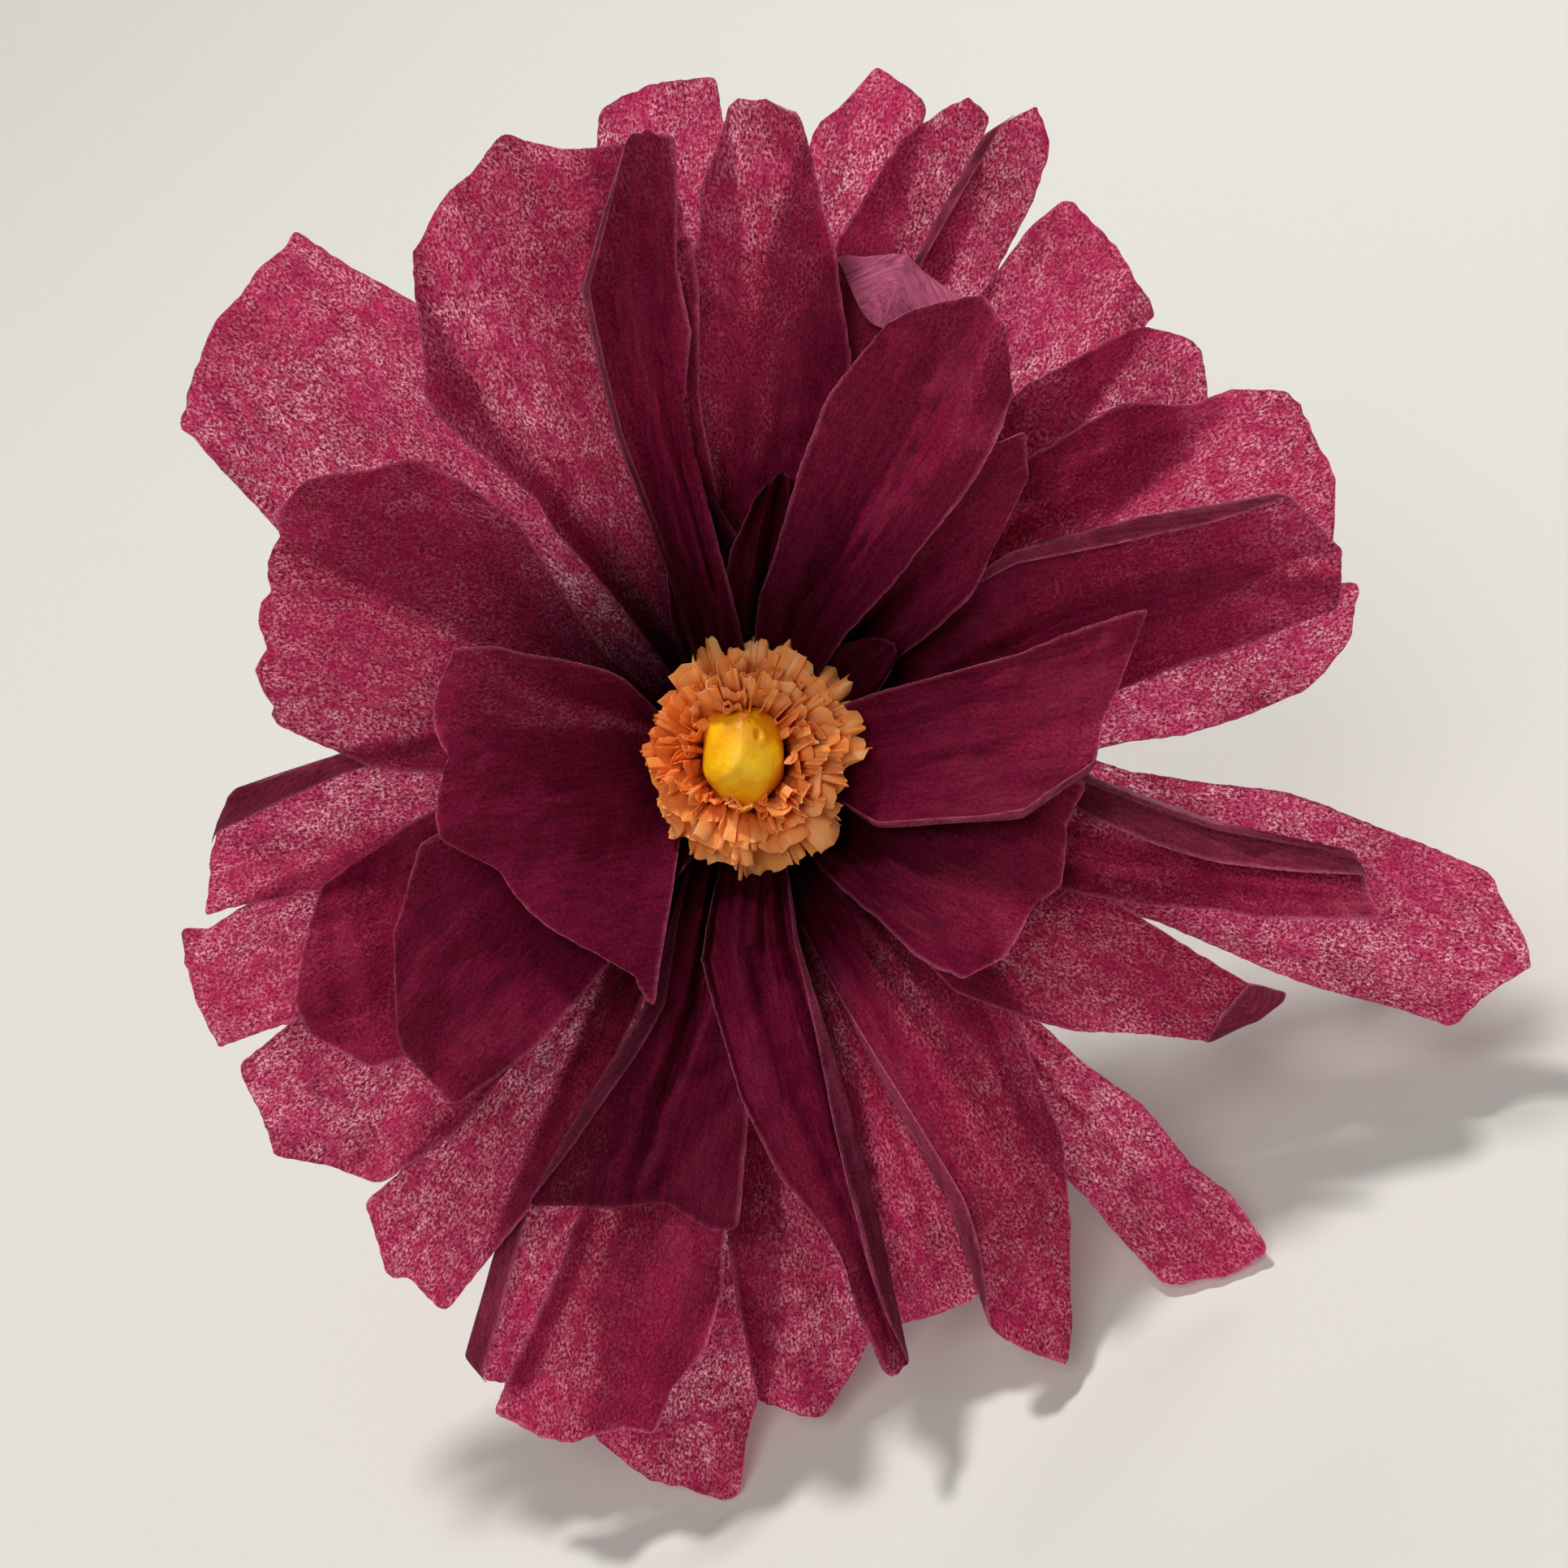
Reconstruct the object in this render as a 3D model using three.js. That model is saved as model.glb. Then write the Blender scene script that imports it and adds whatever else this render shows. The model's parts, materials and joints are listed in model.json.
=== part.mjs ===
import * as THREE from "three";
import { ConvexHull } from "three/addons/math/ConvexHull.js";
import { mergeVertices } from "three/addons/utils/BufferGeometryUtils.js";

// A paper flower on a taped wire stem, lying on its side as it comes to rest.
// Lengths are millimetres. The head is built round its own axis, which is local Z,
// with local Y up as the open face is seen, and is laid down at the end.

// Paper
const sheet = 0.3; // thickness of one petal
const feetGap = 0.45; // clear space between petals where they meet the seat
const openGap = 0.9; // clear space between petals further out
const openRadius = 30; // distance from the axis where the full gap is reached
const bendRadius = 1.2; // inside a folded-over edge
const seatGap = 0.3; // between a piece and the one that carries it

// Head
const footWidth = 7; // of a petal where it meets the seat
const bow = 1.7; // how early a petal rises: 1 is straight, more is steep at the foot
const fan = 0.8; // how far a petal's sides follow the bowl
const cornerRadius = 3; // at the two corners of a petal's end
const cornerShare = 0.3; // of the end's width at most, where the end is narrow

// Bud
const budWidth = 12;
const budHeight = 14.5;
const budDepth = 15;
const budFoot = 2; // above the datum, which is the seat's upper end
const budDimple = 0.6;
const dimpleSpread = 0.3; // share of the bud's half width

// Stem
const stemLength = 185; // from the datum to the cut end of the wire
const wireDiameter = 1.6;
const tapeWall = 0.6;
const bareWire = 8; // wire that shows past the tape
const wireSides = 12;

// Seat: tape wound thick, which the petals are glued round and the frills stand on
const budRadius = Math.max(budWidth, budHeight) / 2;
const seatOverhang = 1.25; // of the seat past the bud
const seatRadius = budRadius + seatOverhang;
const seatHeight = 23;
const seatTaper = 20; // length of the taped cone under the seat
const seatHollow = 1.9; // how hollow the cone is: 1 is straight
const seatShoulder = 1.5; // bevel round the seat's upper end
const seatSides = 32;
const seatSteps = 5; // of facets along the cone

// Colours of the paper, the crepe and the tape
const wineLight = { color: 0x9c2f55, roughness: 0.75, metalness: 0 };
const wineDark = { color: 0x5d1430, roughness: 0.8, metalness: 0 };
const apricot = { color: 0xeda066, roughness: 0.95, metalness: 0 };
const yellow = { color: 0xdfae14, roughness: 0.5, metalness: 0 };
const leafTape = { color: 0x5f7344, roughness: 0.7, metalness: 0 };
const steel = { color: 0x8f9090, roughness: 0.4, metalness: 1 };

// Each ring of petals: the height of its feet over the seat's lower end, how far its
// edges stand proud of its middle, and its paper
const rings = {
  back: { foot: 2, cup: 2, paper: wineLight },
  outer: { foot: 5.5, cup: 3, paper: wineLight },
  middle: { foot: 8.5, cup: 4, paper: wineDark },
  front: { foot: 11, cup: 4, paper: wineDark },
  pleat: { foot: 11, cup: 2, paper: wineDark },
  throat: { foot: 14, cup: 3, paper: wineDark },
};

// The petals, from the back of the pile to the front. aim is the direction in
// degrees anticlockwise from the right; ccw and cw are the distances from the
// middle line to the two edges at each quarter of the length; tip is how far the
// end lies from the axis at the ccw corner, the middle and the cw corner; rise is
// the height of the tip over the foot; fold names a side that is turned over to
// the front, with the flap's width along it.
const petals = [
  { ring: "back", aim: 142, rise: 33, ccw: [9, 14, 17, 14], cw: [9, 16, 25, 21], tip: [100, 106, 107] },
  { ring: "back", aim: 97, rise: 30, ccw: [9, 12, 13, 10], cw: [6, 7, 8, 8], tip: [103, 107, 105] },
  { ring: "back", aim: 80, rise: 30, ccw: [7, 9, 10, 6], cw: [7, 9, 8, 10], tip: [100, 109, 104] },
  { ring: "back", aim: 72, rise: 31, ccw: [8, 12, 11, 4], cw: [7, 8, 6, 7], tip: [102, 108, 107] },
  { ring: "back", aim: 66, rise: 32, ccw: [5, 6, 7, 5], cw: [6, 7, 5, 6], tip: [103, 112, 107],
    fold: { side: "ccw", flap: [1, 2, 4, 5] } },
  { ring: "back", aim: 58, rise: 32, ccw: [6, 8, 8, 4], cw: [7, 10, 18, 18], tip: [101, 99, 93] },
  { ring: "back", aim: 41, rise: 32, ccw: [9, 13, 15, 10], cw: [9, 10, 10, 8], tip: [91, 96, 93] },
  { ring: "back", aim: -15, rise: 30, ccw: [10, 15, 17, 12], cw: [7, 8, 11, 12], tip: [119, 128, 118] },
  { ring: "back", aim: -44, rise: 30, ccw: [4, 3, 4, 2], cw: [5, 6, 12, 14], tip: [112, 111, 104] },
  { ring: "back", aim: -92, rise: 30, ccw: [7, 9, 8, 4], cw: [8, 14, 19, 19], tip: [116, 115, 107] },
  { ring: "back", aim: -83, rise: 32, ccw: [7, 11, 13, 11], cw: [8, 10, 11, 11], tip: [91, 104, 101] },
  { ring: "back", aim: -113, rise: 30, ccw: [5, 6, 7, 7], cw: [6, 6, 6, 3], tip: [103, 105, 103],
    fold: { side: "cw", flap: [1, 3, 5, 5] } },
  { ring: "back", aim: -122, rise: 31, ccw: [6, 8, 9, 7], cw: [7, 8, 10, 13], tip: [96, 98, 91] },
  { ring: "back", aim: -139, rise: 32, ccw: [8, 12, 14, 13], cw: [8, 12, 15, 15], tip: [87, 96, 89] },
  { ring: "back", aim: -160, rise: 30, ccw: [7, 11, 14, 14], cw: [6, 6, 5, 4], tip: [95, 94, 92] },
  { ring: "back", aim: -171, rise: 33, ccw: [7, 9, 11, 12], cw: [8, 10, 10, 7], tip: [88, 86, 80],
    fold: { side: "cw", flap: [1, 3, 6, 9] } },
  { ring: "outer", aim: -71, rise: 36, ccw: [6, 9, 10, 8], cw: [7, 9, 9, 8], tip: [90, 92, 90] },
  { ring: "outer", aim: -58, rise: 36, ccw: [9, 15, 11, -1], cw: [6, 8, 9, 14], tip: [98, 104, 94],
    fold: { side: "cw", flap: [1, 3, 4, 1] } },
  { ring: "outer", aim: -27, rise: 34, ccw: [6, 7, 6, 5], cw: [12, 18, 15, 7], tip: [91, 89, 85],
    fold: { side: "tip", flap: [8, 6, 4] } },
  { ring: "outer", aim: -12, rise: 35, ccw: [7, 8, 5, 5], cw: [8, 10, 8, 4], tip: [96, 98, 101],
    fold: { side: "ccw", flap: [3, 8, 7, 5] } },
  { ring: "outer", aim: 10, rise: 35, ccw: [8, 14, 16, 9], cw: [6, 8, 9, 6], tip: [98, 96, 88] },
  { ring: "outer", aim: 27, rise: 35, ccw: [12, 21, 23, 12], cw: [8, 10, 10, 12], tip: [99, 100, 96] },
  { ring: "outer", aim: 76, rise: 38, ccw: [7, 9, 8, 5], cw: [8, 12, 16, 16], tip: [78, 80, 75],
    fold: { side: "tip", flap: [4, 9, 5] } },
  { ring: "outer", aim: -106, rise: 35, ccw: [9, 15, 20, 16], cw: [5, 3, 5, 8], tip: [103, 108, 108] },
  { ring: "outer", aim: -150, rise: 38, ccw: [10, 15, 16, 12], cw: [10, 17, 18, 16], tip: [73, 78, 66] },
  { ring: "outer", aim: 168, rise: 38, ccw: [8, 11, 13, 10], cw: [11, 28, 34, 26], tip: [73, 79, 76] },
  { ring: "middle", aim: 14, rise: 42, ccw: [12, 20, 20, 18], cw: [8, 6, 2, 1], tip: [86, 96, 91],
    fold: { side: "ccw", flap: [1, 4, 5, 2] } },
  { ring: "middle", aim: -30, rise: 38, ccw: [9, 14, 19, 22], cw: [8, 11, 13, 13], tip: [46, 51, 46] },
  { ring: "middle", aim: 43, rise: 40, ccw: [8, 12, 12, 8], cw: [5, 6, 6, 5], tip: [64, 60, 42] },
  { ring: "middle", aim: 86, rise: 44, ccw: [7, 10, 14, 8], cw: [5, 13, 9, 1], tip: [95, 99, 99] },
  { ring: "middle", aim: 113, rise: 42, ccw: [9, 15, 23, 17], cw: [9, 14, 21, 25], tip: [89, 99, 89] },
  { ring: "pleat", aim: 103, rise: 27, ccw: [5, 6, 5, 3], cw: [5, 6, 6, 4], tip: [38, 42, 40] },
  { ring: "pleat", aim: 82, rise: 27, ccw: [5, 6, 6, 4], cw: [5, 6, 6, 4], tip: [38, 43, 41] },
  { ring: "pleat", aim: 37, rise: 16, ccw: [5, 6, 6, 4], cw: [5, 6, 6, 4], tip: [25, 28, 26] },
  { ring: "front", aim: 100, rise: 46, ccw: [6, 10, 11, 1], cw: [2, 1, 3, 5], tip: [93, 94, 92],
    fold: { side: "ccw", flap: [2, 2, 2, 1] } },
  { ring: "front", aim: -102, rise: 42, ccw: [7, 9, 11, 13], cw: [5, 6, 12, 17], tip: [68, 70, 71],
    fold: { side: "cw", flap: [2, 4, 3, 1] } },
  { ring: "front", aim: -78, rise: 44, ccw: [2, 4, 5, 5], cw: [13, 12, 3, -2], tip: [94, 94, 93],
    fold: { side: "ccw", flap: [2, 4, 4, 1] } },
  { ring: "front", aim: -134, rise: 42, ccw: [6, 7, 8, 5], cw: [12, 20, 25, 19], tip: [68, 66, 54] },
  { ring: "front", aim: 60, rise: 44, ccw: [10, 13, 16, 15], cw: [4, 8, 9, 8], tip: [67, 77, 69] },
  { ring: "throat", aim: 10, rise: 38, ccw: [6, 8, 10, 11], cw: [14, 15, 16, 11], tip: [65, 58, 50],
    fold: { side: "cw", flap: [2, 2, 3, 3] } },
  { ring: "throat", aim: -173, rise: 34, ccw: [10, 20, 28, 35], cw: [14, 18, 21, 21], tip: [19, 47, 43] },
];

// Frills: strips of crepe gathered round the bud, each a ruffled funnel. foot and rim
// are its radii, low and high its heights over the datum, waves its ruffles, sway how
// far they swing, and lobes and lobe the number and the size of its wider clumps.
const frillWall = 0.7;
const frillSteps = 4; // of facets from the foot to the rim
const facetsPerWave = 6;
const frillRise = 0.8; // how early a frill stands up: 1 is straight
const ruffleOut = 0.6; // share of a ruffle's swing that goes outwards
const ruffleDown = 0.5; // and downwards
const budTop = budFoot + budDepth;
const frillLow = frillWall / 2 + seatGap;
const innerFoot = 0.75 * budRadius;
const innerRim = budRadius + 4.2;
const frills = [
  { name: "frill_outer", foot: innerFoot + 1.8, rim: innerRim + 4.6, low: frillLow,
    high: budTop - 4, flare: 1.1, waves: 21, sway: 1.6, lobes: 7, lobe: 1.4 },
  { name: "frill_inner", foot: innerFoot, rim: innerRim, low: frillLow,
    high: budTop - 1, flare: 0.8, waves: 17, sway: 1, lobes: 5, lobe: 0.5 },
];

const flower = new THREE.Group();
const head = new THREE.Group();

function addPiece(name, geometry, finish) {
  const piece = new THREE.Mesh(geometry, new THREE.MeshStandardMaterial(finish));
  piece.name = name;
  head.add(piece);
  return piece;
}

// Grids of points made into closed sheets

function gridNormals(rows) {
  const last = rows.length - 1;
  const end = rows[0].length - 1;
  return rows.map((row, i) => row.map((point, j) => {
    const along = rows[Math.min(i + 1, last)][j].clone().sub(rows[Math.max(i - 1, 0)][j]);
    const across = row[Math.min(j + 1, end)].clone().sub(row[Math.max(j - 1, 0)]);
    return along.cross(across).normalize();
  }));
}

function quads(list, count, corner) {
  for (let k = 0; k < count; k += 1) {
    const [a, b, c, d] = corner(k);
    list.push(a, b, c, a, c, d);
  }
}

// A grid of points thickened by half a wall each way; a ring is joined end to start
function sheetGeometry(rows, wall, ring = false) {
  const normals = ring ? ringNormals(rows) : gridNormals(rows);
  const m = rows.length;
  const n = rows[0].length;
  const positions = [];
  for (const side of [0.5, -0.5]) {
    rows.forEach((row, i) => row.forEach((point, j) => {
      const p = point.clone().addScaledVector(normals[i][j], side * wall);
      positions.push(p.x, p.y, p.z);
    }));
  }
  const face = (i, j) => (i % m) * n + j;
  const back = (i, j) => face(i, j) + m * n;
  const spans = ring ? m : m - 1;
  const index = [];
  for (let i = 0; i < spans; i += 1) {
    quads(index, n - 1, (j) => [face(i, j), face(i + 1, j), face(i + 1, j + 1), face(i, j + 1)]);
    quads(index, n - 1, (j) => [back(i, j), back(i, j + 1), back(i + 1, j + 1), back(i + 1, j)]);
  }
  quads(index, spans, (i) => [face(i, 0), back(i, 0), back(i + 1, 0), face(i + 1, 0)]);
  quads(index, spans, (i) => [face(i, n - 1), face(i + 1, n - 1), back(i + 1, n - 1), back(i, n - 1)]);
  if (!ring) {
    quads(index, n - 1, (j) => [face(0, j), face(0, j + 1), back(0, j + 1), back(0, j)]);
    quads(index, n - 1, (j) => [face(m - 1, j), back(m - 1, j), back(m - 1, j + 1), face(m - 1, j + 1)]);
  }
  return turnedOut(positions, index);
}

function ringNormals(rows) {
  const m = rows.length;
  const end = rows[0].length - 1;
  return rows.map((row, i) => row.map((point, j) => {
    const along = rows[(i + 1) % m][j].clone().sub(rows[(i + m - 1) % m][j]);
    const across = row[Math.min(j + 1, end)].clone().sub(row[Math.max(j - 1, 0)]);
    return along.cross(across).normalize();
  }));
}

// Faces outwards: a closed surface that encloses a negative volume is reversed
function turnedOut(positions, index) {
  const corner = (k) => new THREE.Vector3().fromArray(positions, 3 * index[k]);
  let volume = 0;
  for (let k = 0; k < index.length; k += 3) {
    volume += corner(k).dot(corner(k + 1).cross(corner(k + 2)));
  }
  const geometry = new THREE.BufferGeometry();
  geometry.setAttribute("position", new THREE.Float32BufferAttribute(positions, 3));
  geometry.setIndex(volume < 0 ? index.reverse() : index);
  return geometry;
}

// The pile: the height of the topmost sheet over a square grid of places

const cell = 1.25;
const reach = 140; // from the axis to the grid's edge
const pileSide = Math.round((2 * reach) / cell) + 1;
const pile = new Float32Array(pileSide * pileSide).fill(-Infinity);
const leastArea = 1e-6; // a triangle seen on edge covers no place

// The triangles of a grid of m by n points
function gridTriangles(m, n) {
  const triangles = [];
  for (let i = 0; i + 1 < m; i += 1) {
    for (let j = 0; j + 1 < n; j += 1) {
      const a = i * n + j;
      triangles.push([a, a + n, a + n + 1], [a, a + n + 1, a + 1]);
    }
  }
  return triangles;
}

// The points beside each point of a grid
function gridNeighbours(m, n) {
  return Array.from({ length: m * n }, (_, k) => {
    const list = [];
    if (k % n > 0) list.push(k - 1);
    if (k % n < n - 1) list.push(k + 1);
    if (k >= n) list.push(k - n);
    if (k + n < m * n) list.push(k + n);
    return list;
  });
}

// Every place of the pile under a triangle of a sheet, with its three weights
function places(points, triangles) {
  const hits = [];
  for (const [a, b, c] of triangles) {
    const [p, q, r] = [points[a], points[b], points[c]];
    const area = (q.x - p.x) * (r.y - p.y) - (r.x - p.x) * (q.y - p.y);
    if (Math.abs(area) < leastArea) continue;
    const first = (values) => Math.max(0, Math.ceil((Math.min(...values) + reach) / cell));
    const last = (values) => Math.min(pileSide - 1, Math.floor((Math.max(...values) + reach) / cell));
    const xs = [p.x, q.x, r.x];
    const ys = [p.y, q.y, r.y];
    for (let i = first(xs); i <= last(xs); i += 1) {
      for (let j = first(ys); j <= last(ys); j += 1) {
        const x = i * cell - reach;
        const y = j * cell - reach;
        const wq = ((x - p.x) * (r.y - p.y) - (r.x - p.x) * (y - p.y)) / area;
        const wr = ((q.x - p.x) * (y - p.y) - (x - p.x) * (q.y - p.y)) / area;
        const wp = 1 - wq - wr;
        if (wp < 0 || wq < 0 || wr < 0) continue;
        hits.push({ place: i * pileSide + j, corners: [a, b, c], weights: [wp, wq, wr] });
      }
    }
  }
  return hits;
}

const blend = (hit, values) => hit.corners.reduce((sum, k, n) => sum + hit.weights[n] * values[k], 0);

// The pile's height between four places
function pileAt(x, y) {
  const [fx, fy] = [(x + reach) / cell, (y + reach) / cell];
  const [i, j] = [Math.floor(fx), Math.floor(fy)];
  const [a, b] = [fx - i, fy - j];
  const row = (k) => (1 - b) * pile[k * pileSide + j] + b * pile[k * pileSide + j + 1];
  return (1 - a) * row(i) + a * row(i + 1);
}

// What lies under the corners of a sheet's triangles and under the middles of their sides
const rimWeights = [[1, 0, 0], [0.5, 0.5, 0], [0, 0.5, 0.5], [0.5, 0, 0.5]];
function rimHits(points, triangles) {
  const xs = points.map((p) => p.x);
  const ys = points.map((p) => p.y);
  return triangles.flatMap((corners) => rimWeights.map((weights) => {
    const hit = { corners, weights };
    return { ...hit, under: pileAt(blend(hit, xs), blend(hit, ys)) };
  }));
}

// Raises a sheet until every point of it clears the pile by its own room, while the
// rest of the sheet follows smoothly
const settleRounds = 80;
const ease = 0.97; // of its neighbours' lift that a point follows
function drape(rows) {
  const points = rows.flat();
  const triangles = gridTriangles(rows.length, rows[0].length);
  const neighbours = gridNeighbours(rows.length, rows[0].length);
  const room = points.map((point) => point.room);
  const inside = places(points, triangles).map((hit) => ({ ...hit, under: pile[hit.place] }));
  const hits = [...inside, ...rimHits(points, triangles)].filter((hit) => hit.under > -Infinity);
  const heights = points.map((p) => p.z);
  const lift = points.map(() => 0);
  for (let round = 0; round < settleRounds; round += 1) {
    if (round < settleRounds / 2) {
      neighbours.forEach((around, k) => {
        lift[k] = (ease * around.reduce((sum, n) => sum + lift[n], 0)) / around.length;
      });
    }
    for (const hit of hits) {
      const lack = hit.under + blend(hit, room) - blend(hit, heights) - blend(hit, lift);
      if (lack <= 0) continue;
      const squares = hit.weights.reduce((sum, weight) => sum + weight * weight, 0);
      hit.corners.forEach((k, n) => {
        lift[k] += (lack * hit.weights[n]) / squares;
      });
    }
  }
  points.forEach((p, k) => {
    p.z = heights[k] + lift[k];
  });
}

function raisePile(place, height) {
  pile[place] = Math.max(pile[place], height);
}

// Adds a sheet to the pile, with a margin of one place round its edge
function layOnPile(rows) {
  const points = rows.flat();
  const heights = points.map((p) => p.z);
  const hits = places(points, gridTriangles(rows.length, rows[0].length));
  const covered = new Set(hits.map((hit) => hit.place));
  for (const hit of hits) {
    const height = blend(hit, heights);
    raisePile(hit.place, height);
    for (const next of [1, -1, pileSide, -pileSide]) {
      if (!covered.has(hit.place + next)) raisePile(hit.place + next, height);
    }
  }
}

// Adds a line of points to the pile, which is too narrow to cover places of its own
function layLineOnPile(line) {
  for (let k = 0; k + 1 < line.length; k += 1) {
    const steps = Math.ceil(line[k].distanceTo(line[k + 1]) / cell);
    for (let n = 0; n <= steps; n += 1) {
      const point = line[k].clone().lerp(line[k + 1], n / steps);
      for (const i of [Math.floor, Math.ceil].map((round) => round((point.x + reach) / cell))) {
        for (const j of [Math.floor, Math.ceil].map((round) => round((point.y + reach) / cell))) {
          raisePile(i * pileSide + j, point.z);
        }
      }
    }
  }
}

// One petal

// A smooth curve through evenly spaced values, read at t from 0 to 1
function curveThrough(values) {
  const spline = new THREE.SplineCurve(values.map((value, k) => new THREE.Vector2(k, value)));
  return (t) => spline.getPoint(t).y;
}

// The end of a petal from its cw corner, v = -1, to its ccw corner, v = 1
const endAt = ([ccw, mid, cw], v) => mid + ((ccw - cw) / 2) * v + ((ccw + cw) / 2 - mid) * v * v;

function petalShape(petal) {
  const ring = rings[petal.ring];
  const footHeight = ring.foot - seatHeight;
  const ccw = curveThrough([footWidth / 2, ...petal.ccw]);
  const cw = curveThrough([footWidth / 2, ...petal.cw]);
  const aim = THREE.MathUtils.degToRad(petal.aim);
  const length = Math.max(...petal.tip) - seatRadius - seatGap;
  const halfWidth = Math.max(...petal.ccw, ...petal.cw);
  const corner = Math.min(cornerRadius, cornerShare * (ccw(1) + cw(1)));

  // Height and slope of the sheet before it is draped, from its place s along and x across
  function height(s, x) {
    const t = (Math.hypot(s, fan * x) - seatRadius) / length;
    const left = Math.max(0, 1 - t);
    return {
      z: footHeight + petal.rise * (1 - left ** bow) + ring.cup * Math.min(1, t) * (x / halfWidth) ** 2,
      slope: (petal.rise * bow * left ** (bow - 1)) / length,
    };
  }

  function place(s, x) {
    const { z, slope } = height(s, x);
    const point = new THREE.Vector3(
      s * Math.cos(aim) - x * Math.sin(aim), s * Math.sin(aim) + x * Math.cos(aim), z);
    const open = THREE.MathUtils.clamp((Math.hypot(s, x) - seatRadius) / (openRadius - seatRadius), 0, 1);
    point.room = (sheet + THREE.MathUtils.lerp(feetGap, openGap, open)) * Math.hypot(1, slope);
    return point;
  }

  // Flat place of the point u along and v across. The end narrows, which rounds its corners
  function flat(u, v) {
    const past = Math.max(0, 1 + ((u - 1) * length) / corner);
    const trim = corner * (1 - Math.sqrt(1 - past * past));
    const kept = v * (1 - (2 * trim) / (ccw(u) + cw(u)));
    const foot = (v * footWidth) / 2;
    const start = Math.sqrt((seatRadius + seatGap) ** 2 - foot ** 2);
    return {
      s: start + (endAt(petal.tip, kept) - start) * u,
      x: THREE.MathUtils.lerp(-cw(u), ccw(u), (kept + 1) / 2),
    };
  }
  return { flat, place, shoulder: 1 - corner / length };
}

const alongStep = 11; // facets along a petal
const acrossStep = 8.5; // facets across it
const leastRows = 5; // of facets along the shortest petal
const leastColumns = 3; // and across the narrowest
const flapSteps = 3; // and across a flap
const footFlap = 1; // width of a side's flap where it meets the seat

// Place of a flap's point, t past the fold: round the bend, then back over the sheet
function turnedOver(t) {
  const halfTurn = Math.PI * bendRadius;
  if (t < halfTurn) {
    const angle = t / bendRadius;
    return { out: bendRadius * Math.sin(angle), up: bendRadius * (1 - Math.cos(angle)) };
  }
  return { out: halfTurn - t, up: 2 * bendRadius };
}

// The point a distance along a run of points, measured in plan from the first; a
// distance below zero lies before it
function pointAlong(run, distance) {
  const span = (k) => Math.hypot(run[k + 1].x - run[k].x, run[k + 1].y - run[k].y);
  let left = distance;
  let k = 0;
  while (k + 2 < run.length && left > span(k)) {
    left -= span(k);
    k += 1;
  }
  return run[k].clone().lerp(run[k + 1], left / span(k));
}

// The flap's points that follow a run, which starts at the folded edge
function flapOver(run, width) {
  const flap = [];
  for (let k = 1; k <= flapSteps; k += 1) {
    const { out, up } = turnedOver((width * k) / flapSteps);
    const point = pointAlong(run, -out);
    point.z += up;
    flap.push(point);
  }
  return flap;
}

// How far along the petal row i lies: evenly spaced up to the rounded corners, then the end
const rowAt = (i, rows, shoulder) => (i === rows - 1 ? 1 : (shoulder * i) / (rows - 2));

function petalGeometry(petal) {
  const { flat, place, shoulder } = petalShape(petal);
  const reachOut = Math.max(...petal.tip);
  const width = Math.max(...petal.ccw.map((value, k) => value + petal.cw[k]));
  const m = Math.max(leastRows, Math.round(reachOut / alongStep)) + 1;
  const n = Math.max(leastColumns, Math.round(width / acrossStep)) + 1;
  const rows = [];
  for (let i = 0; i < m; i += 1) {
    const row = [];
    for (let j = 0; j < n; j += 1) {
      const { s, x } = flat(rowAt(i, m, shoulder), (2 * j) / (n - 1) - 1);
      row.push(place(s, x));
    }
    rows.push(row);
  }
  drape(rows);
  layOnPile(rows);
  if (petal.fold) addFlap(rows, petal.fold, shoulder);
  return sheetGeometry(rows, sheet);
}

// Folds a side or the end of a petal over its own front
function addFlap(rows, fold, shoulder) {
  let flaps;
  let hinges;
  if (fold.side === "tip") {
    const width = curveThrough([...fold.flap].reverse());
    hinges = rows[rows.length - 1];
    const inwards = [...rows].reverse();
    flaps = hinges.map((_, j) => flapOver(inwards.map((row) => row[j]), width(j / (hinges.length - 1))));
    for (let k = 0; k < flapSteps; k += 1) rows.push(flaps.map((flap) => flap[k]));
  } else {
    const width = curveThrough([footFlap, ...fold.flap]);
    const atStart = fold.side === "cw";
    hinges = rows.map((row) => (atStart ? row[0] : row[row.length - 1]));
    flaps = rows.map((row, i) => {
      const inwards = atStart ? row : [...row].reverse();
      return flapOver(inwards, width(rowAt(i, rows.length, shoulder)));
    });
    rows.forEach((row, i) => {
      if (atStart) row.unshift(...[...flaps[i]].reverse());
      else row.push(...flaps[i]);
    });
  }
  layOnPile(flaps.map((flap, i) => [hinges[i], ...flap]));
  for (let k = 0; k < flapSteps; k += 1) layLineOnPile(flaps.map((flap) => flap[k]));
}

const counts = {};
for (const petal of petals) {
  counts[petal.ring] = (counts[petal.ring] ?? 0) + 1;
  const number = String(counts[petal.ring]).padStart(2, "0");
  addPiece(`petal_${petal.ring}_${number}`, petalGeometry(petal), rings[petal.ring].paper);
}

// Frills

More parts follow.
